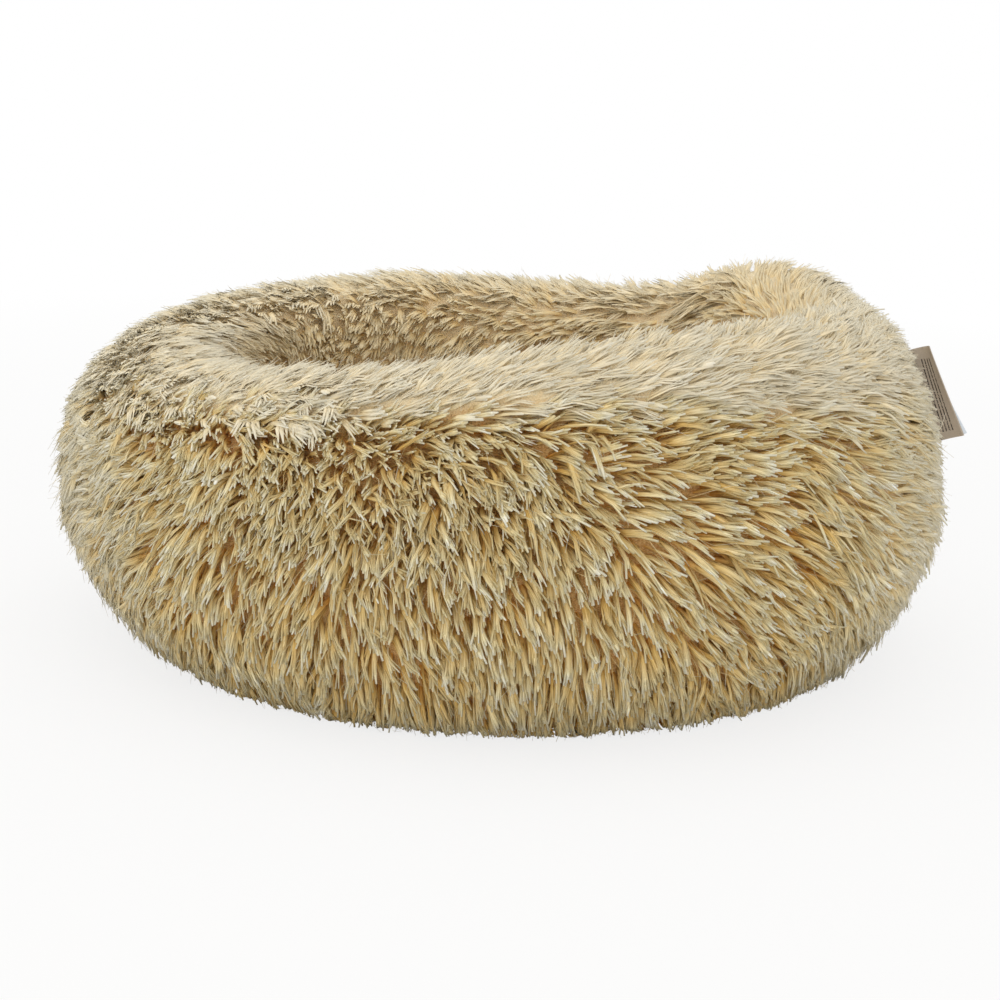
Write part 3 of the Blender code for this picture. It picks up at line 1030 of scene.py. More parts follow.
# %% Bindings
EDGE_ROUNDNESS_SHARE = 0.45
EDGE_STEPS = 16


def rounded_edges():
    """Places round a flat section with full edges, from -1 to 1 across and through."""
    turns = np.linspace(0.0, math.tau, EDGE_STEPS, endpoint=False)
    return tuple(rounded(way, EDGE_ROUNDNESS_SHARE) for way in (np.cos(turns), np.sin(turns)))


def ring_binding(name, inner_radius):
    across, through = rounded_edges()
    radius = inner_radius + BINDING_WIDTH / 2 * (1 + across)
    height = INSIDE_FLOOR + BINDING_THICKNESS / 2 * (1 + through)
    profile = [(float(r), float(z)) for r, z in zip(radius, height)]

    def place(radius, angle, nearest):
        return settle(radius, angle, height[nearest]), 0.0 * angle

    return turned(name, profile, place, INNER_STEPS)


SEAM_HALF_TURN = math.degrees(BINDING_WIDTH / 2 / (WALL_WIDTH / 2 - BACKING - PILE_STAND))


def crest_binding():
    across, through = rounded_edges()
    turns = CREST_SEAM_TURN + SEAM_HALF_TURN * across
    inset = BACKING + PILE_STAND + TAPE_CLEARANCE + TAPE_THICKNESS / 2 * (1 + through)
    profile = [(float(r), float(z)) for r, z in zip(*section(turns, inset))]

    def place(radius, angle, nearest):
        return wall_place(angle, turns[nearest], inset[nearest]), 0.0 * angle

    return turned("crest_tape", profile, place, INNER_STEPS)


base_binding = ring_binding("base_tape", BASE_RADIUS - BINDING_WIDTH)
pad_binding = ring_binding("pad_tape", FLANGE_RADIUS + FIT_GAP)
crest_tape = crest_binding()
print("three bindings,", round(BINDING_WIDTH * 1000), "mm wide")

# %% [markdown]
# ## A panel of cloth
# Tapes and labels are flat pieces laid on a curved place. A grid keeps its flat size as a map, is
# moved point by point to where it lies, and then gets its thickness from a modifier.

# %% Panels
def panel(name, columns, rows, width, height, lay, thickness):
    """A grid laid on a curved place by lay(u, v), in metres, and then thickened."""
    bpy.ops.object.select_all(action="DESELECT")
    bpy.ops.mesh.primitive_grid_add(x_subdivisions=columns, y_subdivisions=rows, size=1.0)
    piece = bpy.context.object
    piece.name = piece.data.name = name
    mesh = piece.data
    flat = (coordinates(mesh)[:, :2] + 0.5) * (width, height)
    corner = np.empty(len(mesh.loops), int)
    mesh.loops.foreach_get("vertex_index", corner)
    mesh.uv_layers[0].name = "cloth"
    mesh.uv_layers["cloth"].data.foreach_set("uv", flat[corner].ravel())
    mesh.vertices.foreach_set("co", lay(flat[:, 0], flat[:, 1]).ravel())
    mesh.update()
    thicken = piece.modifiers.new("Cloth", "SOLIDIFY")
    thicken.thickness = thickness
    thicken.offset = 0.0
    apply_modifiers(piece)
    bpy.ops.object.mode_set(mode="EDIT")
    bpy.ops.mesh.select_all(action="SELECT")
    bpy.ops.mesh.normals_make_consistent(inside=False)
    bpy.ops.object.mode_set(mode="OBJECT")
    bpy.ops.object.shade_smooth_by_angle(angle=math.radians(CREASE_TURN))
    return piece


# %% [markdown]
# ## The stay tape
# Behind the upright seam of the outer strip lies a straight tape that keeps the seam from
# stretching. The labels are sewn into the same seam.

# %% Stay tape
UPRIGHT_SEAM_TURN = -6.0
TAPE_WIDTH = 0.010
TAPE_TURNS = (-44.0, 44.0)
tape_length = float(arc_at(TAPE_TURNS[1]) - arc_at(TAPE_TURNS[0]))


def on_upright_seam(u, v):
    """A place behind the upright seam: u across the tape, v up along it."""
    turn = TAPE_TURNS[0] + (TAPE_TURNS[1] - TAPE_TURNS[0]) * v / tape_length
    angle = math.radians(UPRIGHT_SEAM_TURN) + (u - TAPE_WIDTH / 2) / CREST_RADIUS
    inset = plush_depth(turn) + TAPE_CLEARANCE + TAPE_THICKNESS / 2
    return wall_place(angle, turn, inset)


stay_tape = panel(
    "stay_tape", 5, 40, TAPE_WIDTH, tape_length, on_upright_seam, TAPE_THICKNESS
)
print("stay tape:", round(tape_length * 1000), "mm long")

# %% [markdown]
# ## Woven tape finish
# The tape is a herringbone: fine ribs along it that change their slant every millimetre or two.

# %% Tape material
CHEVRONS = 600.0
RIBS = 1400.0


def tape_paint(name, thread, hollow):
    """A herringbone of fine threads across the tape, painted darker in the hollows between the ribs
    as painted shade.
    """
    paint = Paint(name, roughness=0.85)
    place = paint.on_map("cloth")
    across = paint.axis(place)
    slant = across.math("PINGPONG", across * CHEVRONS, 1.0)
    ribs = (slant + across.other(1) * RIBS).zigzag() * 2.0
    lint = paint.noise(place, 1200.0, 2.0)
    shade = ribs * 0.8 + lint * 0.4 - 0.1
    paint.set(Base_Color=paint.mix(shade, hollow, thread), Sheen_Weight=0.15)
    paint.bump(ribs, 0.5, 0.0002)
    return paint.material


tape_cloth = tape_paint("seam_tape", linear(228, 214, 184), linear(176, 158, 124))
for tape, solid in (
    (base_binding, "base_seam_binding"), (pad_binding, "pad_seam_binding"),
    (crest_tape, "crest_seam_binding"), (stay_tape, "closing_seam_tape"),
):
    finished(tape, tape_cloth, [solid])
print("four tapes are finished")

# %% [markdown]
# ## Stitches
# Every seam is held by a row of short stitches. One stitch is a six-sided thread that rises out of
# the cloth and dips back into it, and its copies follow the seams.

# %% One stitch
STITCH_LENGTH = 0.0030
STITCH_PITCH = 0.0040
THREAD_RADIUS = 0.00022
STITCH_STEPS = ((0.2, 0.8), (0.6, 0.0), (0.2, -0.8))  # shares of the length and of the radius
STITCH_FACES = 20


def one_stitch():
    """A short thread that dips into the cloth at both ends, along X."""
    bpy.ops.object.select_all(action="DESELECT")
    bpy.ops.mesh.primitive_circle_add(
        vertices=6, radius=THREAD_RADIUS, fill_type="NGON",
        rotation=(0.0, math.radians(90.0), 0.0),
        location=(-STITCH_LENGTH / 2, 0.0, -THREAD_RADIUS),
    )
    stitch = bpy.context.object
    bpy.ops.object.transform_apply(location=True, rotation=True, scale=True)
    bpy.ops.object.mode_set(mode="EDIT")
    bpy.ops.mesh.select_all(action="SELECT")
    for ahead, lift in STITCH_STEPS:
        bpy.ops.mesh.extrude_region_move(
            TRANSFORM_OT_translate={"value": (ahead * STITCH_LENGTH, 0.0, lift * THREAD_RADIUS)}
        )
    bpy.ops.mesh.select_all(action="SELECT")
    bpy.ops.mesh.normals_make_consistent(inside=False)
    bpy.ops.object.mode_set(mode="OBJECT")
    return stitch


print("stitches of", STITCH_LENGTH * 1000, "mm, one every", STITCH_PITCH * 1000, "mm")


# %% Rows of stitches
TAPE_END = 0.002
ON_TAPE_SHARE = 0.55
BASE_ROW_RADIUS = BASE_RADIUS - BINDING_WIDTH / 2
PAD_ROW_RADIUS = FLANGE_RADIUS + FIT_GAP + BINDING_WIDTH / 2


def unit(vectors):
    return vectors / np.maximum(np.linalg.norm(vectors, axis=-1, keepdims=True), 1e-9)


def stitch_row(name, places, outward):
    """Stitches along a chain of places; outward gives each one's way out of the cloth."""
    frames = []
    for here, there, out in zip(places[:-1], places[1:], outward[:-1]):
        ahead = unit(there - here)
        out = unit(out - ahead * np.dot(out, ahead))
        frame_there = np.eye(4)
        frame_there[:3] = np.stack([ahead, np.cross(out, ahead), out, (here + there) / 2], 1)
        frames.append(frame_there)
    return merged_copies(name, one_stitch(), frames)


def round_stitches(name, radius, lay_at):
    """A row all round the bed; lay_at(angles) gives its places and each one's way outwards."""
    angles = np.linspace(0.0, math.tau, int(math.tau * radius / STITCH_PITCH) + 1)
    return stitch_row(name, *lay_at(angles))


def on_binding(radius):
    def lay_at(angles):
        places = settle(radius + 0.0 * angles, angles, BINDING_TOP + 0.0 * angles)
        return places, np.tile((0.0, 0.0, 1.0), (len(angles), 1))

    return lay_at


def on_crest_tape(angles):
    inset = BACKING + PILE_STAND + TAPE_CLEARANCE + TAPE_THICKNESS
    turns = CREST_SEAM_TURN + 0.0 * angles
    places = wall_place(angles, turns, inset + 0.0 * angles)
    deeper = wall_place(angles, turns, inset + TAPE_THICKNESS + 0.0 * angles)
    return places, deeper - places


def on_stay_tape():
    along = np.arange(TAPE_END, tape_length - TAPE_END, STITCH_PITCH)
    behind = on_upright_seam(TAPE_WIDTH / 2 + 0.0 * along, along)
    inward = unit(-behind * (1.0, 1.0, 0.0))
    return behind + inward * TAPE_THICKNESS * ON_TAPE_SHARE, inward


stitch_rows = [
    round_stitches("base_seam_stitches", BASE_ROW_RADIUS, on_binding(BASE_ROW_RADIUS)),
    round_stitches("pad_seam_stitches", PAD_ROW_RADIUS, on_binding(PAD_ROW_RADIUS)),
    round_stitches("crest_seam_stitches", CREST_RADIUS, on_crest_tape),
    stitch_row("upright_seam_stitches", *on_stay_tape()),
]
print("stitches:", sum(len(row.data.polygons) for row in stitch_rows) // STITCH_FACES)

# %% Thread material
thread_paint = Paint("sewing_thread", roughness=0.6)
ply = thread_paint.noise(thread_paint.place(), 2400.0, 1.0)
thread_paint.set(
    Base_Color=thread_paint.mix(ply, linear(214, 200, 168), linear(244, 234, 208)),
    Sheen_Weight=0.2,
)
thread_paint.bump(ply, 0.4, 0.0001)
for stitches in stitch_rows:
    finished(stitches, thread_paint.material)
print("rows of stitches:", len(stitch_rows))

# %% [markdown]
# ## The labels
# Two folded strips are sewn into the upright seam and stick out of the pile at the right: a beige
# one, and a smaller white one behind it. Each is a grid laid along a path that leaves the seam,
# turns back at the fold and returns, and then the cloth is thickened. A soft bend keeps them from
# looking like card.

# %% Label shapes
LABEL_TURN = 30.0
LABEL_CLOTH = 0.0004
LABEL_FOLD_GAP = 0.0006
LABEL_STACK = LABEL_FOLD_GAP + 2 * LABEL_CLOTH
LABEL_SHRINK = 0.12  # share of the reach that is lost at the label's lower end
LABEL_SLANT = 0.30  # share that is lost besides at its upper end
seat_low, seat, seat_high = (
    np.array(section(LABEL_TURN + turn, 0.0), float) for turn in (-1.0, 0.0, 1.0)
)
seam_way = (seat_high - seat_low) / np.linalg.norm(seat_high - seat_low)
LABEL_SEAT = np.array([seat[0], 0.0, seat[1]])
LABEL_UP = np.array([seam_way[0], 0.0, seam_way[1]])
LABEL_OUT = np.array([seam_way[1], 0.0, -seam_way[0]])
LABEL_SIDEWAYS = np.array([0.0, 1.0, 0.0])


def folded_label(name, length, reach, side, drop, bend, wave):
    """side is the label's place across the seam, bend how far its fold hangs to that side."""
    fold_radius = (LABEL_FOLD_GAP + LABEL_CLOTH) / 2
    straight = reach + BACKING + PILE_STAND - fold_radius
    round_fold = math.pi * fold_radius
    width = 2 * straight + round_fold

    def lay(u, v):
        turn = np.clip((u - straight) / fold_radius, 0.0, math.pi)
        out = np.where(u < straight, u, np.where(u > width - straight, width - u, straight))
        out = out + fold_radius * np.sin(turn) - BACKING - PILE_STAND
        across = side - fold_radius * np.cos(turn)
        past = np.clip(out / reach, 0.0, 1.0)
        up = v - drop - length / 2
        across = across + past**2 * (bend + wave * np.sin(v / length * 5.0 + 0.6))
        out = out - (LABEL_SHRINK + LABEL_SLANT * v / length) * past * out
        at = LABEL_SEAT + out[:, None] * LABEL_OUT + across[:, None] * LABEL_SIDEWAYS
        at = at + up[:, None] * LABEL_UP
        radius = np.hypot(at[:, 0], at[:, 1])
        angle = np.arctan2(at[:, 1], at[:, 0]) + math.radians(UPRIGHT_SEAM_TURN)
        return settle(radius, angle, at[:, 2])

    piece = panel(name, 72, 24, width, length, lay, LABEL_CLOTH)
    print(name, "flat:", round(width * 1000), "x", round(length * 1000), "mm")
    return piece


LABEL_SIDE = -(LABEL_STACK + FIT_GAP) / 2
CARE_LENGTH, CARE_REACH = 0.050, 0.017
TAB_LENGTH, TAB_REACH = 0.026, 0.020
care_cloth = folded_label(
    "care_label_cloth", CARE_LENGTH, CARE_REACH, LABEL_SIDE,
    drop=-0.0025, bend=-0.0035, wave=0.0009,
)
white_cloth = folded_label(
    "white_tab_cloth", TAB_LENGTH, TAB_REACH, -LABEL_SIDE,
    drop=0.010, bend=0.0012, wave=0.0006,
)

# %% [markdown]
# ## Label finish
# Both labels are satin, with fine ribs. The beige one carries rows of small dark marks, which stand
# for print without saying anything. They come from one noise, stretched along the rows and cut off
# at a level, and they keep clear of the label's edges, its fold and the part that the pile hides.

# %% Label materials
SATIN_RIBS = 3000.0
MARK_ROW = 0.0021
MARK_SHARE = 0.30
MARK_LEVEL = 0.43
HIDDEN_IN_SEAM = BACKING + PILE_STAND
MARKS_FROM, MARKS_TO = HIDDEN_IN_SEAM + 0.0030, HIDDEN_IN_SEAM + CARE_REACH - 0.0045
MARKS_LOW, MARKS_HIGH = 0.004, 0.044


def rows_of_marks(paint, out, up):
    """1 on the marks; out is the way from the seam, up the way along it."""
    row = out * (1.0 / MARK_ROW)
    cells = paint.node(
        "ShaderNodeCombineXYZ", None, {0: row.math("ROUND", row, 0.0) * 7.3, 1: up * 900.0}
    )
    marks = row.zigzag().over(MARK_SHARE) * paint.noise(cells, 1.0, 2.0, 0.8).over(MARK_LEVEL)
    for way, low, high in ((out, MARKS_FROM, MARKS_TO), (up, MARKS_LOW, MARKS_HIGH)):
        marks = marks * way.over(low) * way.math("LESS_THAN", way, high)
    return marks


def label_paint(name, cloth, thread, ink=None):
    paint = Paint(name, roughness=0.55)
    place = paint.on_map("cloth")
    out = paint.axis(place)
    ribs = (out.other(1) * SATIN_RIBS).zigzag() * 2.0
    fine = paint.noise(place, 900.0, 2.0)
    colour = paint.mix(ribs * 0.5 + fine * 0.5, thread, cloth)
    if ink:
        colour = paint.mix(rows_of_marks(paint, out, out.other(1)), colour, ink)
    paint.set(Base_Color=colour, Sheen_Weight=0.1)
    paint.bump(ribs, 0.25, 0.00015)
    return paint.material


beige = label_paint(
    "care_label_weave", linear(196, 182, 166), linear(164, 150, 132), linear(58, 48, 42)
)
white = label_paint("white_tab_weave", linear(236, 242, 248), linear(206, 216, 226))
finished(care_cloth, beige, ["care_label"])
finished(white_cloth, white, ["back_label"])
print("two labels are finished")

# %% [markdown]
# ## One lock
# Under a lens, each lock is a flat blade of hundreds of fibres that leave the cloth together. It is
# widest in the middle and ends in a few blunt bundles, and a stray fibre or two bows away from it.
# Each member starts as a small filled ring that is extruded and scaled along its length: four sides
# make the blade, three make a bundle or a stray fibre. Across, the members are measured in
# millimetres, and along they run from 0 to 1, so that a copy can be laid on any curve.

# %% Model the members of a lock
MEMBERS = {
    # sides, and rings of (share along, width)
    "blade": (4, ((0.0, 0.42), (0.25, 0.82), (0.58, 1.0), (0.84, 0.74), (0.97, 0.34))),
    "bundle": (3, ((0.36, 0.70), (0.74, 1.0), (1.0, 0.82))),
    "wisp": (3, ((0.0, 0.60), (0.36, 1.0), (0.72, 0.86), (1.0, 0.24))),
    "stray": (3, ((0.0, 1.0), (0.34, 1.0), (0.68, 0.9), (1.0, 0.5))),
}


def model_member(name, sides, rings):
    bpy.ops.object.select_all(action="DESELECT")
    bpy.ops.mesh.primitive_circle_add(
        vertices=sides, radius=rings[0][1], fill_type="NGON", location=(0.0, 0.0, rings[0][0])
    )
    member = bpy.context.object
    member.name = name
    bpy.ops.object.transform_apply(location=True, rotation=True, scale=True)
    bpy.ops.object.mode_set(mode="EDIT")
    bpy.ops.mesh.select_all(action="SELECT")
    for (low, before), (high, after) in zip(rings, rings[1:]):
        bpy.ops.mesh.extrude_region_move(
            TRANSFORM_OT_translate={"value": (0.0, 0.0, high - low)}
        )
        grow = after / before
        bpy.ops.transform.resize(value=(grow, grow, 1.0))
    bpy.ops.mesh.select_all(action="SELECT")
    bpy.ops.mesh.normals_make_consistent(inside=False)
    bpy.ops.object.mode_set(mode="OBJECT")
    return member


def read_member(member, sides):
    """Points, faces, and each face corner's place round and along the member."""
    mesh = member.data
    points = np.array([v.co for v in mesh.vertices])
    faces = [list(p.vertices) for p in mesh.polygons]
    wedge = math.tau / sides
    corners = []
    for polygon in mesh.polygons:
        face_turn = math.atan2(polygon.center.y, polygon.center.x)
        flat = abs(polygon.normal.z) > 0.9
        side = round((face_turn + math.pi) / wedge - 0.5) % sides
        for index in polygon.vertices:
            x, y, z = points[index]
            off = (math.atan2(y, x) - face_turn + math.pi) % math.tau - math.pi
            across = 0.5 if flat else 0.5 + off / wedge
            corners.append(((side + across) / sides, z))
    bpy.data.objects.remove(member)
    return points, faces, np.array(corners)


members = {
    name: read_member(model_member(name, sides, rings), sides)
    for name, (sides, rings) in MEMBERS.items()
}
print("faces:", {name: len(faces) for name, (_, faces, _) in members.items()})

# %% [markdown]
# ## Seven kinds of lock
# Each plan puts a few members side by side. The first four have a blade, with bundles and strays
# that leave it; two are slim wisps for the combed, silky places; the last is a single loose fibre.

# %% Put the members together
MM = 0.001
LOCK_PLANS = (
    # member, half width, half thickness, side, up, splay side, splay up, length share, bow
    (("blade", 1.60, 0.60, 0.0, 0.0, 0.0, 0.0, 0.94, 0.0),
     ("bundle", 0.62, 0.46, -0.85, 0.25, -0.45, 0.35, 1.00, 0.0),
     ("bundle", 0.56, 0.44, 0.80, 0.20, 0.75, 0.10, 0.88, 0.0),
     ("stray", 0.16, 0.16, 0.80, 0.30, 0.30, 1.20, 1.00, 1.7)),
    (("blade", 1.25, 0.66, 0.0, 0.0, 0.0, 0.0, 0.88, 0.0),
     ("bundle", 0.66, 0.50, -0.45, 0.30, -0.75, 0.35, 1.00, 0.0),
     ("bundle", 0.54, 0.42, 0.65, 0.10, 0.80, -0.10, 0.95, 0.0)),
    (("blade", 1.85, 0.52, 0.0, 0.0, 0.0, 0.0, 0.92, 0.0),
     ("bundle", 0.56, 0.42, -1.10, 0.20, -0.50, 0.35, 0.84, 0.0),
     ("bundle", 0.62, 0.46, 0.35, 0.35, 0.60, 0.10, 1.00, 0.0),
     ("stray", 0.17, 0.17, 0.20, 0.40, 0.90, 1.60, 0.90, 2.6)),
    (("blade", 1.15, 0.58, 0.0, 0.0, 0.0, 0.0, 1.00, 0.0),
     ("bundle", 0.60, 0.46, -0.60, 0.20, -0.80, 0.20, 0.91, 0.0),
     ("stray", 0.14, 0.14, -0.50, 0.10, -0.90, 0.80, 0.92, 2.9)),
    (("wisp", 0.90, 0.26, -1.05, 0.00, -0.45, 0.10, 0.94, -0.3),
     ("wisp", 0.98, 0.28, -0.10, 0.25, -0.10, 0.30, 1.00, 0.2),
     ("wisp", 0.84, 0.24, 0.95, 0.05, 0.50, 0.20, 0.90, 0.4),
     ("stray", 0.17, 0.17, 0.30, 0.40, 1.20, 1.10, 1.00, -0.9)),
    (("wisp", 1.02, 0.28, -0.65, 0.10, -0.60, 0.25, 1.00, 0.3),
     ("wisp", 0.88, 0.26, 0.45, -0.05, 0.25, -0.10, 0.92, -0.3),
     ("wisp", 0.80, 0.24, 1.15, 0.20, 0.80, 0.35, 0.97, 0.2),
     ("stray", 0.16, 0.16, -0.90, 0.20, -1.10, 0.90, 0.90, 1.1)),
    (("stray", 0.15, 0.15, 0.0, 0.0, 0.60, 0.20, 1.00, 0.8),),
)
BLADE_PLANS = (0, 1, 2, 3)
COMBED_PLANS = (4, 5)
LOOSE_PLAN = 6


def lock_shape(plan):
    """A lock's points (side, up, share along), faces, corner places and each point's member."""
    points, faces, corners, owner = [], [], [], []
    for number, (kind, wide, thick, side, up, splay_side, splay_up, length, bow) in enumerate(plan):
        shape, member_faces, member_corners = members[kind]
        z = shape[:, 2]
        spread = 0.55 + 0.45 * np.minimum(z / 0.5, 1.0)
        fan = np.clip((z - 0.55) / 0.45, 0.0, 1.0) ** 1.5
        x = shape[:, 0] * wide + side * spread + splay_side * fan + bow * np.sin(math.pi * z)
        y = shape[:, 1] * thick + up * spread + splay_up * fan + 0.3 * abs(bow) * z
        base = sum(len(part) for part in points)
        faces += [[index + base for index in face] for face in member_faces]
        points.append(np.stack([x * MM, y * MM, np.minimum(z * length, 1.0)], 1))
        corners.append(member_corners)
        owner.append(np.full(len(shape), number))
    return np.concatenate(points), faces, np.concatenate(corners), np.concatenate(owner)


LOCKS = [lock_shape(plan) for plan in LOCK_PLANS]
print("locks:", [(len(p), len(f)) for p, f, _, _ in LOCKS])

# %% [markdown]
# ## Which way the pile lies
# Brushing and the box it was shipped in have laid the pile: left of the front it hangs to the left,
# in the middle it hangs down and stands out, and from there to the right it is swept to the right,
# long and sleek. Over the crest it is combed along the rim. A short table holds these directions at
# places on the wall, and every lock blends the entries near it. Flow 0 runs along the rim to the
# right of the front, -90 down the outside, 90 over the crest and down the inside.

# %% Combing table
COMBING = np.array([
    # angle, turn, flow, lean at the tip, in degrees
    (200, 55, -125, 66), (200, 15, -135, 67), (200, -40, -120, 66),
    (216, 55, -130, 58), (216, 20, -138, 58), (216, -30, -120, 58),
    (230, 55, -110, 55), (230, 20, -112, 52), (230, -30, -103, 56),
    (243, 55, -92, 56), (243, 20, -92, 54), (243, -30, -84, 56),
    (254, 55, -75, 56), (254, 20, -78, 54), (254, -30, -72, 56),
    (264, 55, -55, 58), (264, 20, -63, 55), (264, -30, -62, 56),
    (276, 55, -32, 64), (276, 20, -52, 56), (276, -30, -56, 56),
    (290, 55, -25, 70), (290, 20, -40, 64), (290, -30, -50, 60),
    (305, 55, -22, 72), (305, 20, -32, 68), (305, -30, -45, 62),
    (322, 55, -18, 68), (322, 20, -28, 66), (322, -30, -42, 62),
    (345, 55, -30, 58), (345, 20, -40, 54), (345, -30, -50, 56),
    (20, 55, -70, 48), (20, 20, -70, 52), (20, -30, -75, 56),
    (90, 55, -90, 48), (90, 20, -90, 54), (90, -30, -90, 56),
    (150, 55, -100, 54), (150, 20, -105, 56), (150, -30, -105, 56),
    (180, 55, -115, 62), (180, 20, -120, 66), (180, -30, -115, 64),
    (205, 70, 70, 46), (225, 70, 58, 48), (245, 70, 46, 52), (265, 70, 38, 55),
    (285, 70, 20, 62), (305, 70, 4, 68), (325, 70, -4, 66), (345, 74, -18, 58),
    (208, 92, 66, 46), (225, 92, 56, 46), (245, 92, 46, 48), (265, 92, 38, 52),
    (285, 92, 26, 58), (305, 92, 14, 64), (325, 90, 6, 60), (345, 88, -14, 50),
    (210, 115, 74, 56), (240, 115, 62, 58), (270, 115, 50, 60), (300, 115, 40, 60),
    (10, 88, -60, 38), (30, 88, -80, 32), (60, 88, -75, 40), (90, 88, -60, 44),
    (120, 88, -70, 42), (150, 88, 120, 36), (178, 88, 95, 40), (194, 90, 88, 44),
    (60, 70, -90, 34), (90, 70, -90, 34), (120, 70, -95, 34), (150, 70, -100, 38),
    (60, 112, 40, 42), (90, 112, 55, 44), (120, 112, 60, 44), (150, 112, 80, 42),
    (30, 130, 60, 44), (60, 130, 50, 52), (90, 140, 45, 58), (130, 140, 40, 58),
    (170, 140, 95, 54), (210, 140, 70, 54), (250, 140, 80, 54), (290, 140, 85, 54),
    (330, 140, 70, 54), (0, 140, 20, 50),
    (30, 200, 90, 50), (90, 200, 90, 50), (150, 200, 90, 50), (210, 200, 90, 50),
    (270, 200, 90, 50), (330, 200, 90, 50),
], float)
NEAR_ANGLE = 12.0
NEAR_TURN = 20.0


def combed(angle, turn):
    """Flow and tip lean at places on the wall, in degrees, and how far the entries disagree.

    Where they disagree the pile parts, and there it is combed along the rim, to hide the ground.
    """
    away = (wrapped(np.degrees(angle)[:, None] - COMBING[None, :, 0]) / NEAR_ANGLE) ** 2
    away = away + ((turn[:, None] - COMBING[None, :, 1]) / NEAR_TURN) ** 2
    weight = np.exp(-0.5 * (away - away.min(1, keepdims=True)))
    weight = weight / weight.sum(1, keepdims=True)
    flow = np.radians(COMBING[:, 2])
    x, y = weight @ np.cos(flow), weight @ np.sin(flow)
    parted = 1.0 - smooth((np.hypot(x, y) - 0.25) / 0.55)
    x, y = x * (1.0 - parted) + parted, y * (1.0 - parted)
    return np.degrees(np.arctan2(y, x)), weight @ COMBING[:, 3], parted


# %% [markdown]
# ## Planting
# Roots stand in rows round the wall, one row after the other up the cloth, each shifted by some
# chance so that no row shows. Each lock is a short curve: it leaves the cloth nearly upright, leans
# over in its flow's direction, and ends near the outline of the bed.

# %% Roots in rows
def plant_wall(low, high, pitch, seed):
    chance = np.random.default_rng(seed)
    angles, arcs = [], []
    start, end = arc_at(low), arc_at(high)
    rows = int(round((end - start) / pitch))
    for row in range(rows):
        arc = start + (row + 0.5) * (end - start) / rows
        radius, _ = section(turn_at(arc), root_depth(turn_at(arc)))
        count = int(math.tau * radius / pitch)
        spots = np.arange(count) + 0.5 * (row % 2) + chance.uniform(-0.42, 0.42, count)
        angles.append(spots * math.tau / count)
        arcs.append(np.full(count, arc) + chance.uniform(-0.45, 0.45, count) * pitch)
    return np.concatenate(angles) % math.tau, np.clip(np.concatenate(arcs), 0, ARCS[-1])


# %% Curves of the locks on the wall
SHARES = np.linspace(0.0, 1.0, 13)
ROOT_LEAN = (8, 34)
SHORTEST, LONGEST = 0.013, 0.040


def smoothed_lean(lean_root, lean_tip):
    """Lean from the cloth's normal along each lock, and its height and travel for length 1."""
    bend = np.minimum(SHARES / 0.75, 1.0) ** 0.8
    lean = lean_root[:, None] + (lean_tip - lean_root)[:, None] * bend[None, :]
    lean = np.radians(lean)
    step = SHARES[1] - SHARES[0]
    rise, run = np.cos(lean), np.sin(lean)
    rise = np.cumsum(rise, 1) * step - rise[:, :1] * step
    run = np.cumsum(run, 1) * step - run[:, :1] * step
    return rise, run


def wall_curves(angle, arc, flow, lean, tip_share, chance):
    """Curves of the locks, which end at tip_share of the pile's depth, and their lengths."""
    turn = turn_at(arc)
    depth = stem_depth(turn)
    rise, run = smoothed_lean(chance.uniform(*ROOT_LEAN, len(angle)), lean)
    length = np.clip(depth * tip_share / rise[:, -1], SHORTEST, LONGEST)
    along = run * length[:, None]
    height = rise * length[:, None]
    x, y = np.cos(np.radians(flow)), np.sin(np.radians(flow))
    new_arc = np.clip(arc[:, None] + along * y[:, None], 0.0, ARCS[-1])
    new_turn = turn_at(new_arc)
    radius, _ = section(new_turn, root_depth(new_turn))
    new_angle = angle[:, None] + along * x[:, None] / np.maximum(radius, 0.05)
    share = height / np.maximum(depth, 0.005)[:, None]
    inset = stem_depth(new_turn) * (1.0 - share) + 0.0008 * (1.0 - SHARES)
    return wall_place(new_angle, new_turn, inset), length


print("curve steps per lock:", len(SHARES))


# %% [markdown]
# ## Locks that cling together
# Long pile clumps: a few locks lead, and the tips of those around them are drawn towards them. Then
# all locks sag a little under their own weight, and none goes into the floor.

# %% Clumping, droop and floor
LEADERS = 0.16
FLOOR_GAP = 0.0012


def clumped(curves, roots, pull, chance):
    """Draws each lock's tip towards the nearest of a few leading locks."""
    count = len(curves)
    leaders = np.flatnonzero(chance.random(count) < LEADERS)
    tree = KDTree(len(leaders))
    for spot, leader in enumerate(leaders):
        tree.insert(roots[leader], spot)
    tree.balance()
    chosen = np.array([leaders[tree.find(root)[1]] for root in roots])
    weight = (pull * chance.uniform(0.5, 1.2, count))[:, None] * SHARES[None, :] ** 1.4
    weight = np.clip(weight, 0.0, 0.85)
    lead = curves[chosen] + 0.25 * (roots - roots[chosen])[:, None, :]
    return curves + (lead - curves) * weight[:, :, None]


def sagging(curves, length, droop):
    """droop is how far the tip sinks, as a share of the length."""
    curves = curves.copy()
    curves[:, :, 2] -= droop * length[:, None] * SHARES[None, :] ** 2
    curves[:, :, 2] = np.maximum(curves[:, :, 2], FLOOR_GAP)
    return curves


print("one lock in", round(1 / LEADERS), "leads")


# %% [markdown]
# ## Laying copies of a lock on its curve
# Each copy takes its points from the modelled lock: the share along picks the place on the curve,
# and the small offsets go sideways and up from it. The finished pile is one mesh per band. Its
# points carry five numbers that the finish reads: the share along the fibre, the tones of the lock
# and of the single fibre, how soft the place is, and how far inside the hollow it lies. Soft,
# combed locks also share the way they face, since hundreds of aligned fibres shine as one sheet.

# %% Lay the copies
ON_FLOOR = 0.001
PRESSED_FADE = 0.003


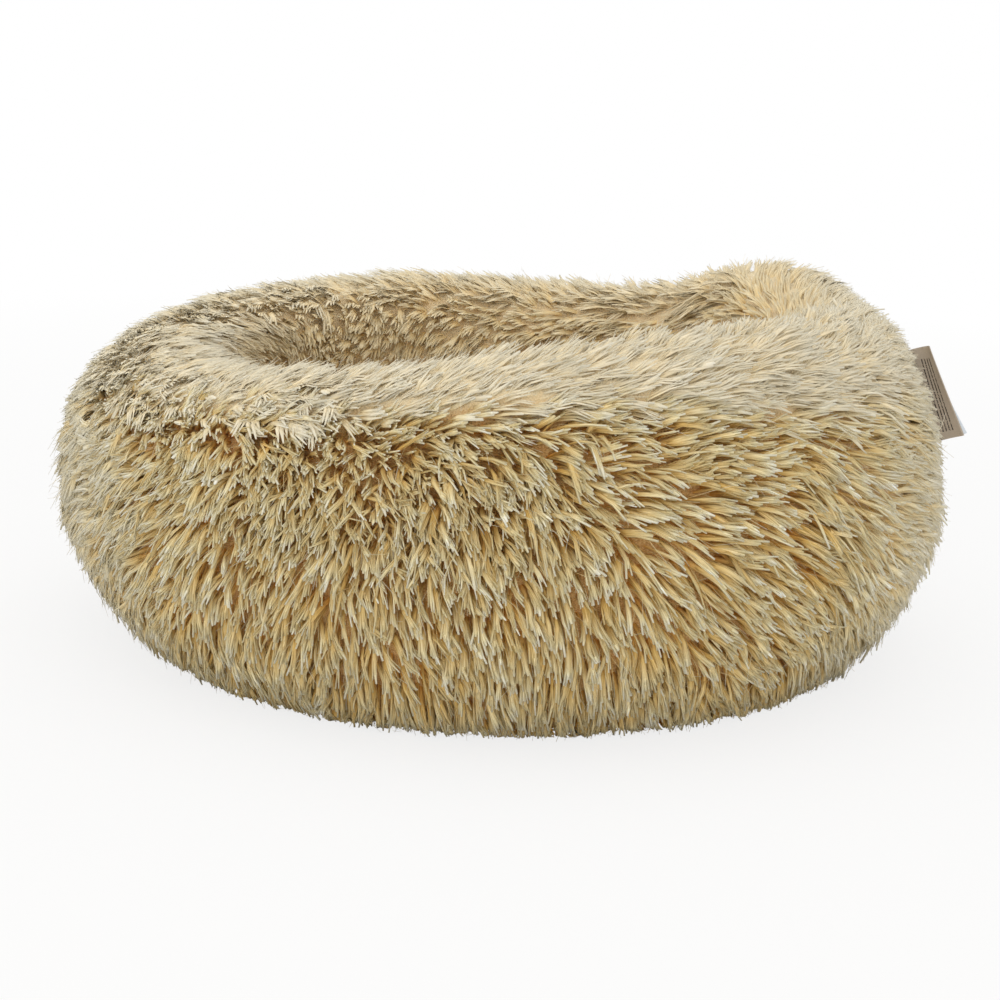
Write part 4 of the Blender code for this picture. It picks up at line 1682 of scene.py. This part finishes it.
def lay_locks(name, curves, plan_of, seed, girth, roll_by, curl, tones, soft, inside):
    """girth, roll_by (radians) and curl (metres) say how thick, twisted and wavy each lock is."""
    chance = np.random.default_rng(seed)
    parts = []
    for plan, (points, faces, corners, owner) in enumerate(LOCKS):
        mine = np.flatnonzero(plan_of == plan)
        if len(mine) == 0:
            continue
        curve = curves[mine]
        outward = unit(curve[:, 3:4] - curve[:, 0:1])
        side = unit(np.cross(outward, curve[:, -1:] - curve[:, 0:1]))
        above = unit(np.cross(curve[:, -1:] - curve[:, 0:1], side))
        phase = chance.uniform(0, math.tau, (len(mine), 2, 1))
        pace = chance.uniform(3.0, 5.5, (len(mine), 2, 1))
        wave = (np.sin(pace * SHARES + phase) - np.sin(phase)) * curl[mine][:, None, None]
        curve = curve + side * wave[:, 0, :, None] + above * 0.5 * wave[:, 1, :, None]
        at = np.clip(points[:, 2], 0, 1) * (len(SHARES) - 1)
        low = np.minimum(at.astype(int), len(SHARES) - 2)
        part = (at - low)[None, :, None]
        centre = curve[:, low] * (1 - part) + curve[:, low + 1] * part
        tangent = unit(curve[:, low + 1] - curve[:, low])
        side = unit(side - tangent * np.sum(side * tangent, 2, keepdims=True))
        up = np.cross(tangent, side)
        roll = (roll_by[mine] * chance.normal(0, 1, len(mine)))[:, None, None]
        twist = chance.normal(0, 1.2, (len(mine), 1, 1)) * points[None, :, 2:3]
        twist = twist * np.minimum(roll_by[mine], 0.42)[:, None, None]
        size = (girth[mine] * chance.uniform(0.72, 1.28, len(mine)))[:, None, None]
        x, y = points[None, :, 0:1] * size, points[None, :, 1:2] * size
        turn = roll + twist
        strands = owner.max() + 1
        laid = centre + side * (x * np.cos(turn) - y * np.sin(turn))
        laid = laid + up * (x * np.sin(turn) + y * np.cos(turn))
        below = np.minimum(laid[..., 2] - ON_FLOOR, 0.0)
        pressed = ON_FLOOR * np.exp(below / PRESSED_FADE)
        laid[..., 2] = np.where(laid[..., 2] < ON_FLOOR, pressed, laid[..., 2])
        strand_tone = chance.uniform(0, 1, (len(mine), strands))[:, owner]
        states = (tones[mine], soft[mine], inside[mine], outward)
        parts.append((laid, faces, corners, owner, points[:, 2], states, strand_tone))
    return build_pile(name, parts)


print("points closer to the floor than", ON_FLOOR * 1000, "mm are pressed flat")

# %% Join the copies
NUMBERS = ("along", "lock_tone", "softness", "fibre_tone", "inside")
CELL_SHAPE = 3.2  # how much taller than wide a fibre's place on the picture map is
COMBED_FACING = 0.8


def joined_copies(parts):
    """What the mesh needs of all the copies, as one long row of numbers for each name."""
    got = {name: [] for name in ("corner", "start", "co", "OFBake", "fibre", "facing", *NUMBERS)}
    cells = sum(len(laid) * (owner.max() + 1) for laid, _, _, owner, *_ in parts)
    columns = math.ceil(math.sqrt(cells * CELL_SHAPE))
    rows = math.ceil(cells / columns)
    points_before = corners_before = cells_before = 0
    for laid, faces, places, owner, shares, (lock_tone, soft, inside, outward), tones in parts:
        count, points = laid.shape[:2]
        copy = np.arange(count)[:, None]
        flat = np.array([index for face in faces for index in face])
        first = np.concatenate([[0], np.cumsum([len(face) for face in faces])[:-1]])
        strands = owner.max() + 1
        cell = cells_before + copy * strands + owner[flat]
        u = (cell % columns + 0.12 + 0.76 * places[:, 0]) / columns
        v = (cell // columns + 0.05 + 0.90 * places[:, 1]) / rows
        for name, values in {
            "corner": flat + points_before + copy * points,
            "start": first + corners_before + copy * len(flat),
            "co": laid,
            "OFBake": np.stack([u, v], 2),
            "fibre": np.tile(places, (count, 1)),
            "facing": (outward * soft[:, None, None]).repeat(points, 1),
            "along": np.tile(shares, count),
            "lock_tone": np.repeat(lock_tone, points),
            "softness": np.repeat(soft, points),
            "fibre_tone": tones,
            "inside": np.repeat(inside, points),
        }.items():
            got[name].append(values.ravel())
        points_before += count * points
        corners_before += count * len(flat)
        cells_before += count * strands
    return {name: np.concatenate(values) for name, values in got.items()}


def build_pile(name, parts):
    """Joins all copies into one mesh, with its numbers and its own picture map."""
    got = joined_copies(parts)
    mesh = bpy.data.meshes.new(name)
    mesh.vertices.add(len(got["co"]) // 3)
    mesh.loops.add(len(got["corner"]))
    mesh.polygons.add(len(got["start"]))
    mesh.vertices.foreach_set("co", got["co"].astype(np.float32))
    mesh.loops.foreach_set("vertex_index", got["corner"].astype(np.int32))
    mesh.polygons.foreach_set("loop_start", got["start"].astype(np.int32))
    mesh.polygons.foreach_set("use_smooth", np.ones(len(got["start"]), bool))
    for number in NUMBERS:
        kept = mesh.attributes.new(number, "FLOAT", "POINT")
        kept.data.foreach_set("value", got[number].astype(np.float32))
    for map_name in ("OFBake", "fibre"):
        uv_map = mesh.uv_layers.new(name=map_name)
        uv_map.data.foreach_set("uv", got[map_name].astype(np.float32))
    mesh.update(calc_edges=True)
    own = np.empty(len(got["co"]), np.float32)
    mesh.vertex_normals.foreach_get("vector", own)
    shared = unit(own.reshape(-1, 3) + COMBED_FACING * got["facing"].reshape(-1, 3))
    mesh.normals_split_custom_set_from_vertices(shared)
    piece = bpy.data.objects.new(name, mesh)
    bpy.context.scene.collection.objects.link(piece)
    return piece


print("numbers on each point of the pile:", *NUMBERS)

# %% [markdown]
# ## Pile finish
# The fibre has one dye colour, but the eye sees three, and the colours along it paint that in: the
# blunt tips are cut and catch the light, painted as a pale highlight; the middle is cream; and near
# the cloth the light that comes back is golden brown, painted as golden shade.

# %% Pile material
WARM_SHEEN = (1.0, 0.86, 0.62)


def pile_paint(name, root, middle, tip, cut_end_highlight, silky_foot, silky_end):
    """Four colours along a plain fibre, and two along a silky one in the soft places: the golden
    root and silky foot are painted shade near the cloth, the cut end a painted highlight.
    """
    paint = Paint(name, roughness=0.62)
    along, lock_tone, soft, fibre_tone, inside = (paint.value(number) for number in NUMBERS)
    # Golden brown near the cloth is painted shade, cream in the middle is the dye, the pale cut end
    # is a painted highlight.
    stops = ((0.0, root), (0.45, middle), (0.86, tip), (0.98, cut_end_highlight))
    dye_and_painted_light = paint.node(
        "ShaderNodeValToRGB", {"stops": stops},
        {"Fac": along + (lock_tone - 0.5) * 0.25 + soft * 0.25},
    )
    shift = paint.node("ShaderNodeCombineXYZ", None, {0: fibre_tone * 31.0, 1: lock_tone * 17.0})
    stretched = paint.node(
        "ShaderNodeMapping", None,
        {"Vector": paint.on_map("fibre"), "Location": shift, "Scale": (17.0, 0.8, 1.0)},
    )
    streaks = paint.noise(stretched, 1.0, 1.0)
    plain = 1.0 - soft * 0.70
    change = lock_tone * 0.20 + fibre_tone * 0.12 - 0.16 + (streaks - 0.5) * 1.3
    # Painted light: the soft places on the rim are painted a little lighter; the rest of the change
    # is random tone and fibre streaks.
    shade = 0.94 + soft * 0.06 + change * plain
    # Painted golden shade: darker tones turn more golden, and more so inside the hollow, where the
    # light that comes back is golden.
    warm = paint.node(
        "ShaderNodeCombineColor", None,
        {0: shade, 1: shade**1.25 * (1.0 - inside * 0.07), 2: shade**1.9 * (1.0 - inside * 0.20)},
    )
    # The silky fibre's golden foot is painted shade near the cloth.
    silk = paint.mix(along, silky_foot, silky_end)
    colour = paint.mix(1.0, paint.mix(soft * 0.9, dye_and_painted_light, silk), warm, "MULTIPLY")
    paint.set(
        Base_Color=colour, Sheen_Weight=0.12, Sheen_Roughness=0.4, Sheen_Tint=WARM_SHEEN,
        Specular_IOR_Level=0.06,
    )
    paint.bump(streaks * plain, 0.4, 0.0004)
    return paint.material


# Root and silky foot colours carry painted golden shade; the fourth colour is the cut end's painted
# highlight.
cream_pile = pile_paint(
    "cream_pile", linear(243, 170, 72), linear(242, 206, 130), linear(238, 225, 182),
    linear(240, 234, 210), linear(253, 218, 146), linear(247, 241, 221)
)
print("pile material:", cream_pile.name)

# %% [markdown]
# ## Planting the bed
# The wall is planted in bands, each a piece of its own. How tousled, soft, parted or flattened the
# pile is at a root, and some chance, say how its lock flows, leans, curls and how long and thick it
# is. Two more plantings thicken the pile where it is tousled or parted, or the ground would show.

# %% Plant the bed
EXTRA_OVER = (0.22, 0.50)
PARTED_LEAN = 62.0
COMBED_LEAN = 79.0
NEAR_CREST = (98.0, 15.0)
CREST_BAND = (84.0, 34.0)


def triangles(piece):
    return len(piece.data.loops) - 2 * len(piece.data.polygons)


def extra_locks(angle, arc, wanted, chance):
    """Keeps the roots in the places that wanted(tousled, parted) picks."""
    turn = turn_at(arc)
    wild = tousled(wall_place(angle, turn, stem_depth(turn)), turn)
    there = wanted(wild, combed(angle, turn)[2]) > chance.uniform(*EXTRA_OVER, len(angle))
    return angle[there], arc[there]


def wall_pile(name, low, high, pitch, seed, wanted=None):
    chance = np.random.default_rng(seed)
    angle, arc = plant_wall(low, high, pitch, seed)
    if wanted:
        angle, arc = extra_locks(angle, arc, wanted, chance)
    turn = turn_at(arc)
    roots = wall_place(angle, turn, stem_depth(turn))
    flow, lean, parted = combed(angle, turn)
    wild, soft = tousled(roots, turn), softness(roots, turn)
    noise = chance.normal(0, 1, (4, len(angle)))
    near_crest = bell(turn, *NEAR_CREST) * smooth(-roots[:, 1] / 0.06)
    crest = bell(turn, *CREST_BAND) * smooth((roots[:, 1] + 0.14) / 0.10)

    flow = flow + 14 * rolling(roots, 3, 0.060) + 12 * (1.0 - 0.5 * soft) * rolling(roots, 4, 0.022)
    flow = flow + (11.0 + 20.0 * wild - 4.0 * soft + 24.0 * parted) * noise[0]
    lean = lean * (1.0 - parted) + PARTED_LEAN * parted
    lean = lean + (COMBED_LEAN - lean) * (0.55 * soft * (1.0 - near_crest))
    lean = lean + 6 * (1.0 - 0.5 * soft) * rolling(roots, 5, 0.05)
    lean = lean + (5.0 + 8.0 * wild - 2.0 * soft) * noise[1]
    tip_share = 1.08 + 0.24 * crest + 0.08 * rolling(roots, 8, 0.04)
    tip_share = tip_share + 0.30 * near_crest + (0.09 - 0.04 * soft + 0.08 * near_crest) * noise[2]
    tip_share = tip_share - 0.22 * flattened(roots, turn)

    curves, length = wall_curves(angle, arc, flow, np.clip(lean, 8, 81), tip_share, chance)
    curves = clumped(curves, roots, 0.40 - 0.26 * soft + 0.36 * near_crest, chance)
    curves = sagging(curves, length, 0.04)
    blades = chance.choice(BLADE_PLANS, len(angle))
    combs = chance.choice(COMBED_PLANS, len(angle))
    plan_of = np.where(chance.random(len(angle)) < soft * 0.85, combs, blades)
    piece = lay_locks(
        name, curves, plan_of, seed + 1,
        girth=1.14 - 0.16 * wild + 0.16 * soft + 0.16 * smooth((turn - 96.0) / 30.0),
        roll_by=0.40 + 0.8 * wild - 0.26 * soft,
        curl=0.0008 + 0.0014 * wild + 0.0004 * soft,
        tones=np.clip(0.5 + 0.22 * rolling(roots, 13, 0.02) + 0.22 * noise[3], 0, 1),
        soft=soft, inside=insideness(turn),
    )
    print(name, len(angle), "locks", triangles(piece), "triangles")
    return finished(piece, cream_pile)


PILE_BANDS = (
    # name, from turn, to turn, spacing of the locks in millimetres
    ("outer_pile_1", -72, -46, 5.3), ("outer_pile_2", -46, -26, 4.7),
    ("outer_pile_3", -26, -9, 4.8), ("outer_pile_4", -9, 6, 4.8),
    ("outer_pile_5", 6, 20, 4.5), ("outer_pile_6", 20, 34, 4.2),
    ("outer_pile_7", 34, 49, 4.1), ("outer_pile_8", 49, 64, 3.5),
    ("inner_pile_1", 64, 80, 3.7), ("inner_pile_2", 80, 102, 4.0),
    ("inner_pile_3", 102, 130, 4.1), ("inner_pile_4", 130, 162, 5.1),
    ("inner_pile_5", 162, 226, 8.4),
)
BAND_SEED = 100
for number, (name, low, high, spacing) in enumerate(PILE_BANDS):
    wall_pile(name, low, high, spacing * MM, BAND_SEED + number)
wall_pile("tousled_pile", 8, 66, 4.4 * MM, 140, lambda wild, parted: wild)
wall_pile("parting_pile", 30, 165, 5.2 * MM, 141, lambda wild, parted: parted)

# %% [markdown]
# ## Loose fibres
# A few single fibres always work free of their locks. They stand a little past the rest, which
# gives the rim its hazy edge, so they are planted apart from the locks, thin and curved.

# %% Loose fibres
def loose_fibres(name, low, high, pitch, seed):
    chance = np.random.default_rng(seed)
    angle, arc = plant_wall(low, high, pitch, seed)
    turn = turn_at(arc)
    roots = wall_place(angle, turn, stem_depth(turn))
    flow, lean, _ = combed(angle, turn)
    noise = chance.normal(0, 1, (3, len(angle)))
    tip_share = 1.22 + 0.14 * noise[0]
    curves, length = wall_curves(
        angle, arc, flow + 34 * noise[1], np.clip(lean * 0.85 + 12 * noise[2], 8, 76),
        tip_share, chance,
    )
    curves = sagging(curves, length, 0.03)
    plain = np.ones(len(angle))
    piece = lay_locks(
        name, curves, plain * LOOSE_PLAN, seed + 1,
        girth=plain, roll_by=0.5 * plain, curl=0.0028 * plain,
        tones=np.clip(0.7 + 0.2 * noise[2], 0, 1), soft=softness(roots, turn),
        inside=insideness(turn),
    )
    print(name, len(angle), "fibres", triangles(piece), "triangles")
    return finished(piece, cream_pile)


loose_fibres("outer_loose_fibres", -60, 64, 8.6 * MM, 400)
loose_fibres("inner_loose_fibres", 64, 150, 5.5 * MM, 410)


# %% [markdown]
# ## The pad's pile
# The sleeping pad has the same pile, planted in rings. In its middle the pile lies one way, and
# near the edge it falls outwards. The last rings stand on the pad's side, down to the seam.

# %% Pad pile
PAD_PITCH = 0.0061
PAD_STAND = PAD_PILE_STAND * STEM_SHARE
PAD_REACH = PAD_RADIUS - 0.004 - PAD_STAND
PAD_EDGE = 0.995  # share of the reach from which the roots stand on the side


def plant_pad(chance):
    """Angles of the roots and their shares of the reach, ring by ring."""
    angles, shares = [], []
    for ring in range(int(PAD_REACH * 1.24 / PAD_PITCH)):
        radius = (ring + 0.5) * PAD_PITCH
        count = max(3, int(math.tau * radius / PAD_PITCH))
        angles.append((np.arange(count) + chance.uniform(-0.4, 0.4, count)) * math.tau / count)
        shares.append((radius + chance.uniform(-0.45, 0.45, count) * PAD_PITCH) / PAD_REACH)
    return np.concatenate(angles), np.clip(np.concatenate(shares), 0.01, 1.28)


def pad_pile(name, seed):
    chance = np.random.default_rng(seed)
    angle, share = plant_pad(chance)
    roots = pad_place(angle, share, PAD_STAND)
    beyond = share > PAD_EDGE
    drop = smooth((share - PAD_EDGE) / 0.06)
    low_height = PAD_SIDE_HEIGHT + (FLANGE_TOP - PAD_SIDE_HEIGHT) * drop
    roots[beyond] = settle(share * PAD_REACH, angle, low_height)[beyond]
    edge = smooth((share - 0.72) / 0.2)
    flow = np.radians(200 + 50 * rolling(roots, 31, 0.16) + chance.normal(0, 16, len(angle)))
    ahead = np.stack([np.cos(flow), np.sin(flow)], 1) * (1.0 - edge)[:, None]
    ahead = unit(ahead + edge[:, None] * np.stack([np.cos(angle), np.sin(angle)], 1))
    lean = 52 + 8 * rolling(roots, 33, 0.06) + chance.normal(0, 6, len(angle)) + 14 * edge
    rise, run = smoothed_lean(chance.uniform(6, 26, len(angle)) + 20 * edge, lean)
    tall = PAD_STAND * (1.0 + chance.normal(0, 0.08, len(angle)))
    length = np.where(beyond, 0.015, np.clip(tall / rise[:, -1], 0.012, 0.026))

    curves = roots[:, None, :].repeat(len(SHARES), 1)
    curves[:, :, :2] += (run * length[:, None])[:, :, None] * ahead[:, None, :]
    out = np.hypot(curves[:, :, 0], curves[:, :, 1])
    fall = np.where(beyond[:, None], 0.0, 0.45 * np.maximum(out - 0.108, 0.0))
    curves[:, :, 2] += rise * length[:, None] - fall
    curves = clumped(curves, roots, 0.45, chance)
    curves = sagging(curves, length, 0.03)
    plan_of = chance.integers(0, LOOSE_PLAN, len(angle))
    plain = np.ones(len(angle))
    piece = lay_locks(
        name, curves, plan_of, seed + 1,
        girth=1.25 * plain, roll_by=0.5 * plain, curl=0.001 * plain,
        tones=np.clip(0.5 + chance.normal(0, 0.2, len(angle)), 0, 1), soft=0.8 * plain,
        inside=0.7 * plain,
    )
    print(name, len(angle), "locks", triangles(piece), "triangles")
    return finished(piece, cream_pile)


pad_pile("pad_pile", 300)

# %% Plain colour view
bpy.context.scene.view_settings.view_transform = "Standard"
